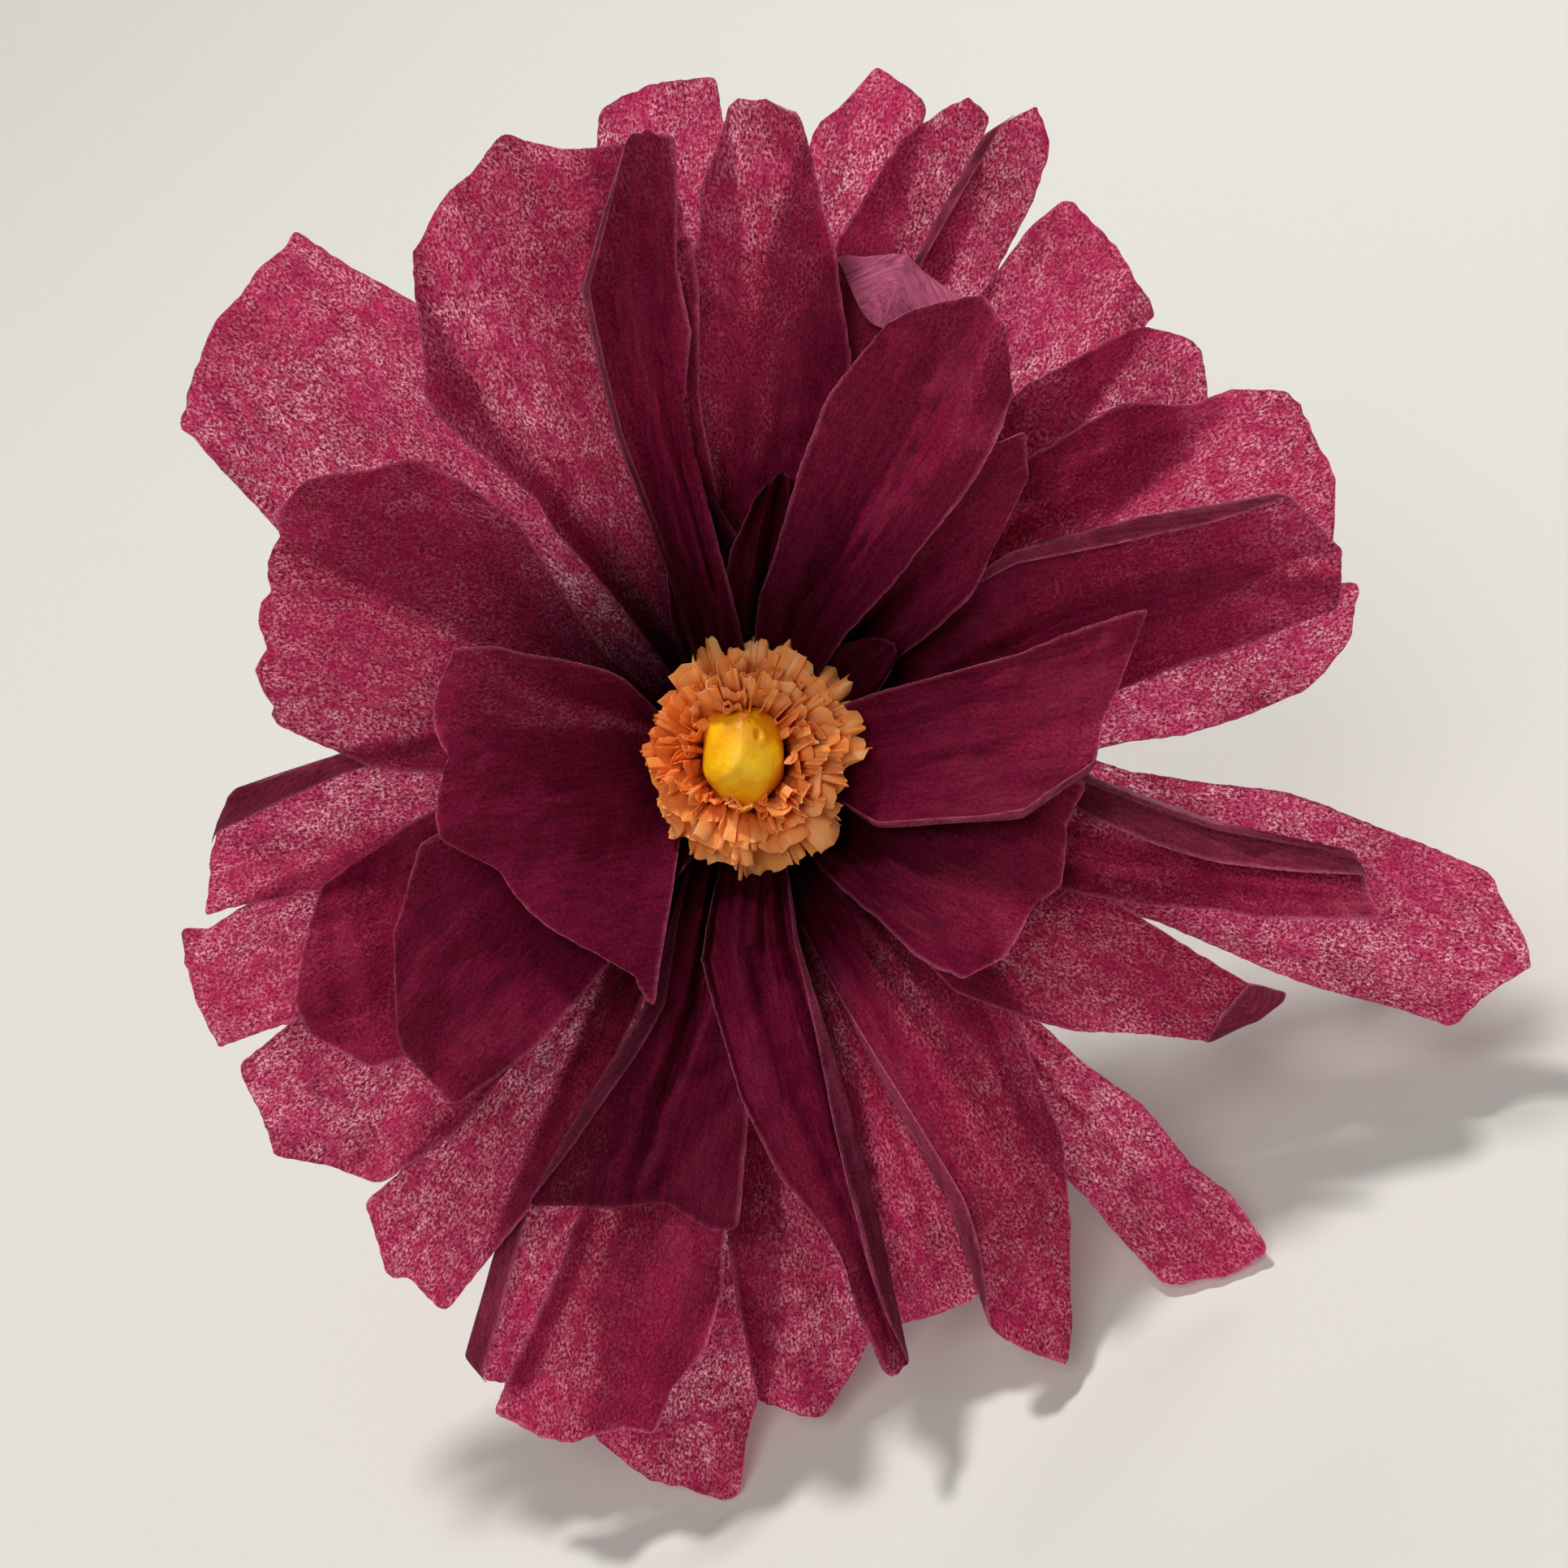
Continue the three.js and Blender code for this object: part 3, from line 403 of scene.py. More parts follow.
petals = {
    "back": [
        (142, 33, [9, 14, 17, 14], [9, 16, 25, 21], [100, 106, 107]),
        (97, 30, [9, 12, 13, 10], [6, 7, 8, 8], [103, 107, 105]),
        (80, 30, [7, 9, 10, 6], [7, 9, 8, 10], [100, 109, 104]),
        (72, 31, [8, 12, 11, 4], [7, 8, 6, 7], [102, 108, 107]),
        (66, 32, [5, 6, 7, 5], [6, 7, 5, 6], [103, 112, 107], "ccw", [1, 2, 4, 5]),
        (58, 32, [6, 8, 8, 4], [7, 10, 18, 18], [101, 99, 93]),
        (41, 32, [9, 13, 15, 10], [9, 10, 10, 8], [91, 96, 93]),
        (-15, 30, [10, 15, 17, 12], [7, 8, 11, 12], [119, 128, 118]),
        (-44, 30, [4, 3, 4, 2], [5, 6, 12, 14], [112, 111, 104]),
        (-92, 30, [7, 9, 8, 4], [8, 14, 19, 19], [116, 115, 107]),
        (-83, 32, [7, 11, 13, 11], [8, 10, 11, 11], [91, 104, 101]),
        (-113, 30, [5, 6, 7, 7], [6, 6, 6, 3], [103, 105, 103], "cw", [1, 3, 5, 5]),
        (-122, 31, [6, 8, 9, 7], [7, 8, 10, 13], [96, 98, 91]),
        (-139, 32, [8, 12, 14, 13], [8, 12, 15, 15], [87, 96, 89]),
        (-160, 30, [7, 11, 14, 14], [6, 6, 5, 4], [95, 94, 92]),
        (-171, 33, [7, 9, 11, 12], [8, 10, 10, 7], [88, 86, 80], "cw", [1, 3, 6, 9]),
    ],
    "outer": [
        (-71, 36, [6, 9, 10, 8], [7, 9, 9, 8], [90, 92, 90]),
        (-58, 36, [9, 15, 11, -1], [6, 8, 9, 14], [98, 104, 94], "cw", [1, 3, 4, 1]),
        (-27, 34, [6, 7, 6, 5], [12, 18, 15, 7], [91, 89, 85], "tip", [8, 6, 4]),
        (-12, 35, [7, 8, 5, 5], [8, 10, 8, 4], [96, 98, 101], "ccw", [3, 8, 7, 5]),
        (10, 35, [8, 14, 16, 9], [6, 8, 9, 6], [98, 96, 88]),
        (27, 35, [12, 21, 23, 12], [8, 10, 10, 12], [99, 100, 96]),
        (76, 38, [7, 9, 8, 5], [8, 12, 16, 16], [78, 80, 75], "tip", [3, 13, 3]),
        (-106, 35, [9, 15, 20, 16], [5, 3, 5, 8], [103, 108, 108]),
        (-150, 38, [10, 15, 16, 12], [10, 17, 18, 16], [73, 78, 66]),
        (168, 38, [8, 11, 13, 10], [11, 28, 34, 26], [73, 79, 76]),
    ],
    "middle": [
        (14, 42, [12, 20, 20, 18], [8, 6, 2, 1], [86, 96, 91], "ccw", [1, 4, 5, 2]),
        (-30, 38, [9, 14, 19, 22], [8, 11, 13, 13], [46, 51, 46]),
        (43, 40, [8, 12, 12, 8], [5, 6, 6, 5], [64, 60, 42]),
        (86, 44, [7, 10, 14, 8], [5, 13, 9, 1], [95, 99, 99]),
        (113, 42, [9, 15, 23, 17], [9, 14, 21, 25], [89, 99, 89]),
    ],
    "pleat": [
        (103, 27, [5, 6, 5, 3], [5, 6, 6, 4], [38, 42, 40]),
        (82, 27, [5, 6, 6, 4], [5, 6, 6, 4], [38, 43, 41]),
        (37, 16, [5, 6, 6, 4], [5, 6, 6, 4], [25, 28, 26]),
    ],
    "front": [
        (100, 46, [6, 10, 11, 1], [2, 1, 3, 5], [93, 94, 92], "ccw", [2, 2, 2, 1]),
        (-102, 42, [7, 9, 11, 13], [5, 6, 12, 17], [68, 70, 71], "cw", [2, 4, 3, 1]),
        (-78, 44, [2, 4, 5, 5], [13, 12, 3, -2], [94, 94, 93], "ccw", [2, 4, 4, 1]),
        (-134, 42, [6, 7, 8, 5], [12, 20, 25, 19], [68, 66, 54]),
        (60, 44, [10, 13, 16, 15], [4, 8, 9, 8], [67, 77, 69]),
    ],
    "throat": [
        (10, 38, [6, 8, 10, 11], [14, 15, 16, 11], [65, 58, 50], "cw", [2, 2, 3, 3]),
        (-173, 34, [10, 20, 28, 35], [14, 18, 21, 21], [19, 48, 44]),
    ],
}
# What only some petals have
petalExtras = {
    "outer_07": {"paintedLitFlap": 1},
    "outer_10": {"scallops": (4, 1.5)},
    "front_02": {"leastPaintedShadeOfSheet": 0.55},
    "front_03": {"leastPaintedShadeOfSheet": 0.3},
    "front_04": {"leastPaintedShadeOfSheet": 0.2},
    "throat_02": {"scallops": (3, 3)},
}

# The pile: the height of the topmost sheet over a square grid of places
pileCell = 0.8
pileReach = 140
pileFiner = 3  # times closer that a sheet's points are laid on it
nothing = -1e3  # mm, a height below every sheet
pileSide = int(2 * pileReach / pileCell) + 2
pile = np.full((pileSide, pileSide), nothing)
layers = np.zeros((pileSide, pileSide))  # how many sheets lie there


def readGrid(grid, points):
    fx, fy = ((points[..., k] + pileReach) / pileCell for k in (0, 1))
    i, j = fx.astype(int), fy.astype(int)
    low = lerp(grid[i, j], grid[i, j + 1], fy - j)
    return lerp(low, lerp(grid[i + 1, j], grid[i + 1, j + 1], fy - j), fx - i)


# A grid read at points a few times closer, by straight lines
def finer(grid, times):
    for _ in range(2):
        place = np.linspace(0, len(grid) - 1, (len(grid) - 1) * times + 1)
        k = np.minimum(place.astype(int), len(grid) - 2)
        w = (place - k)[:, None]
        grid = (grid[k] * (1 - w) + grid[k + 1] * w).T
    return grid


def layOnPile(points):
    x, y, z = (finer(points[..., k], pileFiner) for k in range(3))
    i, j = ((value + pileReach) / pileCell for value in (x, y))
    covered = np.zeros_like(layers, bool)
    covered[np.rint(i).astype(int), np.rint(j).astype(int)] = True
    layers[covered] += 1
    for across in (0, 1):
        for up in (0, 1):
            np.maximum.at(pile, (i.astype(int) + across, j.astype(int) + up), z)


# Lifts a sheet until it clears the pile by its room; the rest of it follows smoothly, each
# point taking nearly the mean lift of its neighbours
settleRounds = 450
followShare = 0.9995


def drape(points, room):
    lack = np.maximum(readGrid(pile, points) + room - points[..., 2], 0)
    lift = lack
    for _ in range(settleRounds):
        wide = np.pad(lift, 1, mode="edge")
        mean = (wide[:-2, 1:-1] + wide[2:, 1:-1] + wide[1:-1, :-2] + wide[1:-1, 2:]) / 4
        lift = np.maximum(lack, followShare * mean)
    points[..., 2] += lift


# The end of a petal from its cw corner, v = -1, to its ccw corner, v = 1: mostly two straight
# cuts, and in part a parabola through the corners and the middle
def endAt(tip, v):
    ccw, middle, cw = tip
    curve = middle + (ccw - cw) / 2 * v + ((ccw + cw) / 2 - middle) * v * v
    straight = middle + np.where(v > 0, ccw - middle, cw - middle) * np.abs(v)
    return lerp(curve, straight, petalCut["straight"])


# The flap's points along runs that start at the folded edge: round the bend, then back over
# the sheet at a small angle
def flapOver(runs, width):
    bend = petalCut["bend"]
    half = math.pi * bend
    steps = max(6, int(width.max() / 0.8))
    t = width[:, None] * np.linspace(0, 1, steps + 1)[None, 1:]
    turned = np.minimum(t, half) / bend
    past = np.maximum(t - half, 0)
    opening = math.radians(petalCut["flapOpen"])
    out = bend * np.sin(turned) - past * math.cos(opening)
    up = bend * (1 - np.cos(turned)) + past * math.sin(opening)
    span = np.linalg.norm(np.diff(runs[..., :2], axis=1), axis=2)
    distance = np.concatenate([np.zeros((len(runs), 1)), np.cumsum(span, 1)], 1)
    k = np.clip((distance[:, None, :] <= -out[:, :, None]).sum(2) - 1, 0, runs.shape[1] - 2)
    row = np.arange(len(runs))[:, None]
    w = (-out - distance[row, k]) / span[row, k]
    flap = runs[row, k] * (1 - w[..., None]) + runs[row, k + 1] * w[..., None]
    flap[..., 2] += up
    return flap


# A side of a petal: mostly straight cuts, and in part a curve through its distances
def sideThrough(distances, u):
    knots = [petalCut["footWidth"] / 2, *distances]
    straight = np.interp(u, np.linspace(0, 1, len(knots)), knots)
    return lerp(curveThrough(knots, u), straight, petalCut["straight"])


# One petal before it is draped: u runs from the foot to the end and v from the cw edge to
# the ccw edge. The height is rise times 1 minus what is left of the way to the power of
# bow, and the cup stands the edges up by the square of the place across.
def petalSheet(petal, look, rng):
    cut = petalCut
    length = max(petal["tip"]) - seatRadius - cut["seatGap"]
    widest = max(a + b for a, b in zip(petal["ccw"], petal["cw"]))
    rows = int(length / cut["spacing"])
    columns = int(widest / cut["spacing"]) + 8
    u = 1 - (1 - np.linspace(0, 1, rows)[:, None]) ** 1.25
    v = np.linspace(-1, 1, columns)[None, :]
    ccw = sideThrough(petal["ccw"], u)
    cw = sideThrough(petal["cw"], u)
    corner = min(cut["corner"], cut["cornerShare"] * (petal["ccw"][-1] + petal["cw"][-1]))
    past = np.maximum(0, 1 + (u - 1) * length / corner)
    trim = corner * (1 - np.sqrt(1 - past ** 2))
    kept = v * (1 - 2 * trim / (ccw + cw))
    start = np.sqrt((seatRadius + cut["seatGap"]) ** 2 - (v * cut["footWidth"] / 2) ** 2)
    s = start + (endAt(petal["tip"], kept) - start) * u
    x = -cw + (ccw + cw) * (kept + 1) / 2
    free = smooth(u * 3)
    fold = petal.get("fold", "")
    folded = {-1: fold == "cw", 1: fold == "ccw"}
    if fold != "tip":
        lobes, depth = petal.get("scallops", (0, 0))
        scallops = depth * (np.abs(np.sin(math.pi * lobes * (v + 1) / 2 + 0.6)) - 1)
        ragged = scallops + cut["ragged"] * cuts(x, cut["cutLength"], rng)
        s = s + u ** cut["endPower"] * (ragged + wobble(x, *cut["fuzz"], rng))
    for side in (-1, 1):
        near = np.clip(side * v, 0, 1) ** cut["sidePower"] * (0 if folded[side] else 1)
        ragged = cut["sideRagged"] * cuts(s, cut["sideCutLength"], rng)
        x = x + near * free * (ragged + wobble(s, *cut["sideFuzz"], rng))
    t = (np.hypot(s, cut["fan"] * x) - seatRadius) / length
    left = np.maximum(0, 1 - t)
    halfWidth = max(*petal["ccw"], *petal["cw"])
    z = look["foot"] - cut["seatHeight"] + petal["rise"] * (1 - left ** cut["bow"])
    z = z + look["cup"] * np.minimum(1, t) * (x / halfWidth) ** 2
    slope = petal["rise"] * cut["bow"] * left ** (cut["bow"] - 1) / length
    z = z + relief(s, x, u, v, look, folded, rng)
    aim = math.radians(petal["aim"])
    points = np.stack([s * math.cos(aim) - x * math.sin(aim), s * math.sin(aim) + x * math.cos(aim), z], -1)
    opened = np.clip((np.hypot(s, x) - seatRadius) / (cut["openRadius"] - seatRadius), 0, 1)
    room = (cut["sheetRoom"] + lerp(cut["feetGap"], cut["openGap"], opened)) * np.hypot(1, slope)
    # Painted shade: darkest at the feet, where the petals crowd together, and over the whole sheet never
    # less than the ring's or the sheet's own least
    paintedCrowdShade = look["paintedCrowdShade"] * (1 - ramp(s, cut["paintedCrowdShadeFrom"], cut["paintedCrowdShadeTo"] - cut["paintedCrowdShadeFrom"]))
    paintedCrowdShade = np.maximum(paintedCrowdShade, petal.get("leastPaintedShadeOfSheet", look["leastPaintedCrowdShade"]))
    inside = np.minimum((1 - np.abs(v)) * (ccw + cw) / 2, (1 - u) * length)
    edge = np.clip(1 - inside / cut["paleEdge"], 0, 1)
    return points, room, np.stack(np.broadcast_arrays(s, x, paintedCrowdShade, edge), -1)


strays = {
    "standAt": 27,  # mm from the axis where the sides stand up most
    "standSpread": 15,
    "broad": 42,  # mm, wavelengths
    "ripple": 26,
    "endRipple": 17,
    "endShare": 0.9,  # of a side's ripples
    "foldedShare": 0.3,
    "crinkles": ((0.35, 11), (0.2, 5), (0.1, 2.6)),  # mm, heights and wavelengths
    "underFrill": (9, 12),  # mm from the axis where all this starts, and over how much
}


# How a petal strays from its smooth bowl: gathers that run out from the foot, soft creases
# along it at even steps across, broad waves, ripples along the cut edges and a fine crinkle.
# Each random range is written where it is drawn, in radians or shares of the petal's size.
def relief(s, x, u, v, look, folded, rng):
    gathers = np.sin(v * rng.uniform(6, 10) + 2.5 * u * rng.uniform(-1, 1) + rng.uniform(0, 6))
    gathers = look["gather"] * (1 - smooth(s / look["gatherTo"])) * gathers
    tilt = look["tilt"] * rng.choice([-1, 1]) * v * smooth(1.3 * u)
    standing = look["stand"] * v ** 2 * np.exp(-((s - strays["standAt"]) / strays["standSpread"]) ** 2)
    creases = 0
    for turn in range(4):
        middle = -0.75 + 0.5 * turn + rng.uniform(-0.2, 0.2)
        drift = rng.uniform(-0.3, 0.3)
        reach = rng.uniform(0.6, 1.25)
        depth = look["crease"] * rng.uniform(0.4, 1) * rng.choice([-1, 1])
        away = np.abs(v - middle - drift * u) / rng.uniform(0.14, 0.42)
        creases = creases + depth * np.maximum(0, 1 - away) * smooth(u * 4) * (1 - smooth(u / reach - 0.1))
    broad = look["broad"] * u * waves(s, x, strays["broad"], rng)
    edge = 0
    for side in (-1, 1):
        near = np.clip(side * v, 0, 1) ** 2.5 * (strays["foldedShare"] if folded[side] else 1)
        edge = edge + look["ripple"] * near * smooth(u * 2) * wobble(s, 1, strays["ripple"], rng)
    edge = edge + strays["endShare"] * look["ripple"] * u ** 5 * wobble(x, 1, strays["endRipple"], rng)
    crinkle = sum(height * waves(s, x, wavelength, rng) for height, wavelength in strays["crinkles"])
    stray = gathers * smooth(u * 6) + standing + tilt + creases + broad + edge + crinkle * smooth(u * 5)
    return stray * ramp(s, *strays["underFrill"])


# Lays the petals one on another from the back to the front
def addPetals():
    seed = petalCut["seed"]
    for ring, sheets in petals.items():
        for number, row in enumerate(sheets, 1):
            petal = dict(zip(petalNames, row)) | petalExtras.get(f"{ring}_{number:02d}", {})
            addPetal(ring, f"{number:02d}", petal, np.random.default_rng(seed))
            seed += 1


def addPetal(ring, number, petal, rng):
    look = dict(zip(ringNames, ringLook[ring]))
    points, room, flat = petalSheet(petal, look, rng)
    drape(points, room)
    # Painted shade from the sheets that lie behind, full where enough of them lie under a point
    paintedLayerShade = np.minimum(readGrid(layers, points) / petalCut["layersDeep"], 1)
    flat = np.concatenate([flat, paintedLayerShade[..., None]], -1)
    layOnPile(points)
    if "fold" in petal:
        points, flat = foldedOver(points, flat, petal)
    vertices, faces, slots = sheetShell(bentUp(points), petalCut["thickness"])
    flat = np.tile(flat.reshape(-1, flat.shape[-1]), (2, 1))
    shades = {"paintedCrowdShade": flat[:, 2], "edge": flat[:, 3], "paintedLayerShade": flat[:, 4]}
    paper = flat[:, :2] + rng.uniform(0, 400, 2)
    addPiece(f"petal{ring.capitalize()}{number}", f"petal_{ring}_{number}", vertices, faces,
        [tissueFront, tissueBack], paper, slots, shades)


# A petal's grid holds at each point its place, its place on the flat paper, its painted shade where
# the feet crowd together, how near an edge it is, and its painted shade from the sheets behind it
onPaper, paleEdgeOrPaintedLitFlapAt, paintedLayerShadeAt = slice(3, 5), 6, 7


# Joins the flap to the sheet, so that both are one grid
def foldedOver(points, flat, petal):
    side = petal["fold"]
    turn = side == "tip"
    both = np.concatenate([points, flat], -1)
    if turn:
        both = np.swapaxes(both, 0, 1)[:, ::-1]
        width = curveThrough(petal["flap"][::-1], np.linspace(0, 1, len(both)))
    else:
        width = curveThrough([1, *petal["flap"]], np.linspace(0, 1, len(both)))
        if side == "ccw":
            both = both[:, ::-1]
    flap = flapOver(both, width)
    hinge = both[:, :1]
    reach = np.linspace(0, 1, flap.shape[1] + 1)[None, 1:, None] * width[:, None, None]
    outward = hinge[..., onPaper] - both[:, 1:2, onPaper]
    outward = outward / np.maximum(np.linalg.norm(outward, axis=-1, keepdims=True), 1e-6)
    flap[..., onPaper] = hinge[..., onPaper] + outward * reach
    both[..., paleEdgeOrPaintedLitFlapAt] *= np.clip(np.linalg.norm(both[..., onPaper] - hinge[..., onPaper], axis=-1), 0, 1)
    flap[..., paleEdgeOrPaintedLitFlapAt] = np.clip(1 - (width[:, None, None] - reach)[..., 0] / petalCut["paleEdge"], 0, 1)
    # A whole flap can be painted pale: painted light, as of a flap lit from the front
    flap[..., paleEdgeOrPaintedLitFlapAt] = np.maximum(flap[..., paleEdgeOrPaintedLitFlapAt], petal.get("paintedLitFlap", 0))
    # A flap gets full painted shade from the sheet that it lies over
    flap[..., paintedLayerShadeAt] = 1
    layOnPile(np.concatenate([hinge[..., :3], flap[..., :3]], 1))
    both = np.concatenate([flap[:, ::-1], both], 1)
    if turn:
        both = np.swapaxes(both[:, ::-1], 0, 1)
    elif side == "ccw":
        both = both[:, ::-1]
    return both[..., :3], both[..., 3:]


addPetals()
print("petals made:", sum(len(sheets) for sheets in petals.values()))


# Camera: in front of the open face, as the photograph was taken
viewFrom = {"distance": 448, "lens": 64.2, "shiftX": 0.0259, "shiftY": -0.0176, "clipEnd": 50}


def addCamera():
    data = bpy.data.cameras.new("camera")
    data.lens = viewFrom["lens"]
    data.shift_x = viewFrom["shiftX"]
    data.shift_y = viewFrom["shiftY"]
    data.clip_end = viewFrom["clipEnd"]
    camera = bpy.data.objects.new("camera", data)
    place = np.eye(4)
    place[:3, :3] = headTurn.T
    place[:3, 3] = datum + headZ * viewFrom["distance"] / metre
    camera.matrix_world = Matrix(place.tolist())
    bpy.context.scene.collection.objects.link(camera)
    bpy.context.scene.camera = camera


addCamera()


# Crepe paper: crinkled when it was made, so it has fine ridges from its foot to its cut edge,
# a matt face and paler tips; low on the strip, among its folds, it is painted deep orange as
# painted shade
crepe = {
    "ridge": 0.42,  # mm
    "ridgeLength": 0.16,  # share of the pattern along the ridges
    "bump": 0.00018,  # m
    # Painted shade: the deep orange low on the strip, among the folds
    "fold": "#ff8a2c",
    "face": "#ffb862",
    "tip": "#ffdaa0",
    "paintedShadeFadeUpStrip": (6, 14),  # mm up the strip, where the painted shade of the folds turns to the face's colour
    "tipAt": (0.42, 0.7),  # of the height times the ridges' noise
    "through": 0.5,  # share of the light
}


def crepeMaterial():
    material, tree = newMaterial("apricotCrepe")
    place = addNode(tree, "UVMap", uv_map="paper")
    upStrip = addNode(tree, "SeparateXYZ", [place]).outputs["Y"]
    along = addNode(tree, "Mapping", {"Vector": place, "Scale": (1, crepe["ridgeLength"], 1)})
    ridges = addNode(tree, "TexNoise", {"Vector": along, "Scale": 0.5 / crepe["ridge"], "Detail": 3,
        "Roughness": 0.55})
    # Painted shade low on the strip, fading to the face's colour further up
    height = addNode(tree, "MapRange", [upStrip, *crepe["paintedShadeFadeUpStrip"]])
    face = addNode(tree, "Mix", {"Factor": height, "A": linear(crepe["fold"]), "B": linear(crepe["face"])},
        data_type="RGBA")
    # Paler on the ridges towards the top of the strip
    paleRidgesUpStrip = addNode(tree, "Math", [ridges, height], operation="MULTIPLY")
    pale = addNode(tree, "MapRange", [paleRidgesUpStrip, *crepe["tipAt"]])
    colour = addNode(tree, "Mix", {"Factor": pale, "A": face, "B": linear(crepe["tip"])}, data_type="RGBA")
    paperEnd(tree, ridges, 0.8, crepe["bump"], colour, 0.8, 0.05, colour, crepe["through"])
    return material


apricotCrepe = crepeMaterial()

# Frills: each is a strip of crepe gathered and wound round the bud, with its edge cut into
# ragged fingers. foot is the radius at the strip's start and end, lean how far its rim leans out
# in radians, length its height on the flat, folds the gathers in a turn, swing how far they go
# to and fro, fingers their number in a turn and slit how deep the cuts between them go.
frills = {
    "frillInner": {"node": "frill_inner", "turns": 2.3, "foot": (6.3, 7.0), "lean": (0.3, 0.9),
        "length": (15.2, 15.2), "folds": 8, "swing": 1.0, "fingers": 19, "slit": 1.6, "seed": 3},
    "frillOuter": {"node": "frill_outer", "turns": 3.3, "foot": (7.3, 8.3), "lean": (0.95, 1.55),
        "length": (14.8, 15.8), "folds": 9, "swing": 1.5, "fingers": 26, "slit": 3.2, "seed": 8},
}
crepeCut = {
    "low": 0.7, "thickness": 0.14,
    "radius": 13,  # mm, at which lengths round a strip are taken
    "height": 15,  # mm, a strip's mean height
    "spacing": 0.24,  # mm between points round a strip
    "slitWidth": 0.09,  # of a finger's width
    "teeth": (0.4, 0.7),  # mm high and apart, at the torn end
    "fringe": (0.72, 0.28),  # of the height, where the fingers start
    "ragged": 0.9,  # mm that a finger's end varies
    "trim": 0.6,  # mm cut off all round
    "curl": 0.32,  # radians that a finger leans by itself
    "crumple": 0.32,  # mm that the strip is crushed to and fro
    "crumpleSize": 3.2,  # mm
}
# The frill stands in clumps: the direction in degrees, the spread and the extra length
clumps = [(80, 20, 5), (114, 14, 4), (40, 16, 3.5), (8, 16, 4.5), (-38, 20, 1.8), (-90, 24, 1.8),
    (180, 42, -4.4)]


# Random levels with a short smooth step between one finger and the next
def fingerLevels(place, rng):
    levels = rng.uniform(-1, 1, int(place.max()) + 2)
    k = place.astype(int)
    return lerp(levels[k], levels[k + 1], ramp(place - k, 0.9, 0.1))


# How far the fingers' ends are cut back: between two fingers by the slit, which is deep in the
# middle like a bell curve, at their corners by a power of the place across, and by the teeth
def cutBack(finger, ends, strip, depth, rng):
    beside = np.abs((finger + 0.5) % 1 - 0.5) / crepeCut["slitWidth"]
    slit = depth * np.exp(-beside ** 2) * (0.7 + 0.3 * ends)
    rounded = 1.1 * np.abs(2 * (finger % 1) - 1) ** 2.2
    return slit + rounded + wobble(strip, *crepeCut["teeth"], rng)


# A strip bent evenly through an angle ends up outwards by its length times 1 less the cosine over
# the angle, and upwards by its length times the sine over the angle. Its folds swing it to and
# fro across that, as the sine of a phase with smaller folds on it. Each wobble of the turn is
# given its height and then its length in radians.
def addFrill(name, frill):
    cut = crepeCut
    rng = np.random.default_rng(frill["seed"])
    around = int(2 * math.pi * cut["radius"] * frill["turns"] / cut["spacing"])
    turn = np.linspace(0, 2 * math.pi * frill["turns"], around)[:, None]
    t = np.linspace(0, 1, 19)[None, :]
    wound = turn / turn.max()
    strip = turn * cut["radius"]
    finger = turn * frill["fingers"] / (2 * math.pi) + wobble(turn, 0.5, 0.6, rng) + 3
    ends = fingerLevels(finger, rng)
    leans = fingerLevels(finger, rng)
    back = cutBack(finger, ends, strip, frill["slit"], rng)
    clump = 0
    for angle, spread, out in clumps:
        away = (np.degrees(turn) - angle + 180) % 360 - 180
        clump = clump + out * np.exp(-(away / spread) ** 2)
    clump = clump * lerp(0.3, 1, wound)
    full = lerp(*frill["length"], wound) + clump + cut["ragged"] * ends - cut["trim"]
    length = full - back * ramp(t, *cut["fringe"])
    lean = lerp(*frill["lean"], wound) * (1 + wobble(turn, 0.14, 1.3, rng))
    bent = lean * t ** 1.2 + cut["curl"] * leans * ramp(t, 0.45, 0.5)
    safe = np.where(np.abs(bent) < 1e-3, 1e-3, bent)
    outwards = lerp(*frill["foot"], wound) + length * t * (1 - np.cos(safe)) / safe
    upwards = cut["low"] + length * t * np.sin(safe) / safe
    phase = frill["folds"] * turn + wobble(turn, 1.9, 1.7, rng) + wobble(turn, 1.2, 0.7, rng)
    swing = frill["swing"] * smooth(t * 1.15) * (1 + wobble(turn, 0.45, 0.9, rng))
    crumple = cut["crumple"] * smooth(t * 1.3)
    crumple = crumple * waves(strip, t * cut["height"], cut["crumpleSize"], rng)
    swung = swing * (np.sin(phase) + 0.3 * np.sin(2.7 * phase + 1.5 * np.sin(phase))) + crumple
    out = outwards + swung * np.cos(bent)
    up = upwards - swung * np.sin(bent)
    slide = 0.9 * swing * np.sin(2 * phase + 0.6 + wobble(turn, 1, 0.7, rng)) / np.maximum(out, 4)
    angle = turn + slide
    points = np.stack([out * np.cos(angle), out * np.sin(angle), up], -1)
    vertices, faces, _ = sheetShell(points, cut["thickness"])
    uv = np.stack(np.broadcast_arrays(strip, length * t), -1).reshape(-1, 2)
    addPiece(name, frill["node"], vertices, faces, [apricotCrepe], np.tile(uv, (2, 1)))


for name, frill in frills.items():
    addFrill(name, frill)
print("frills made")


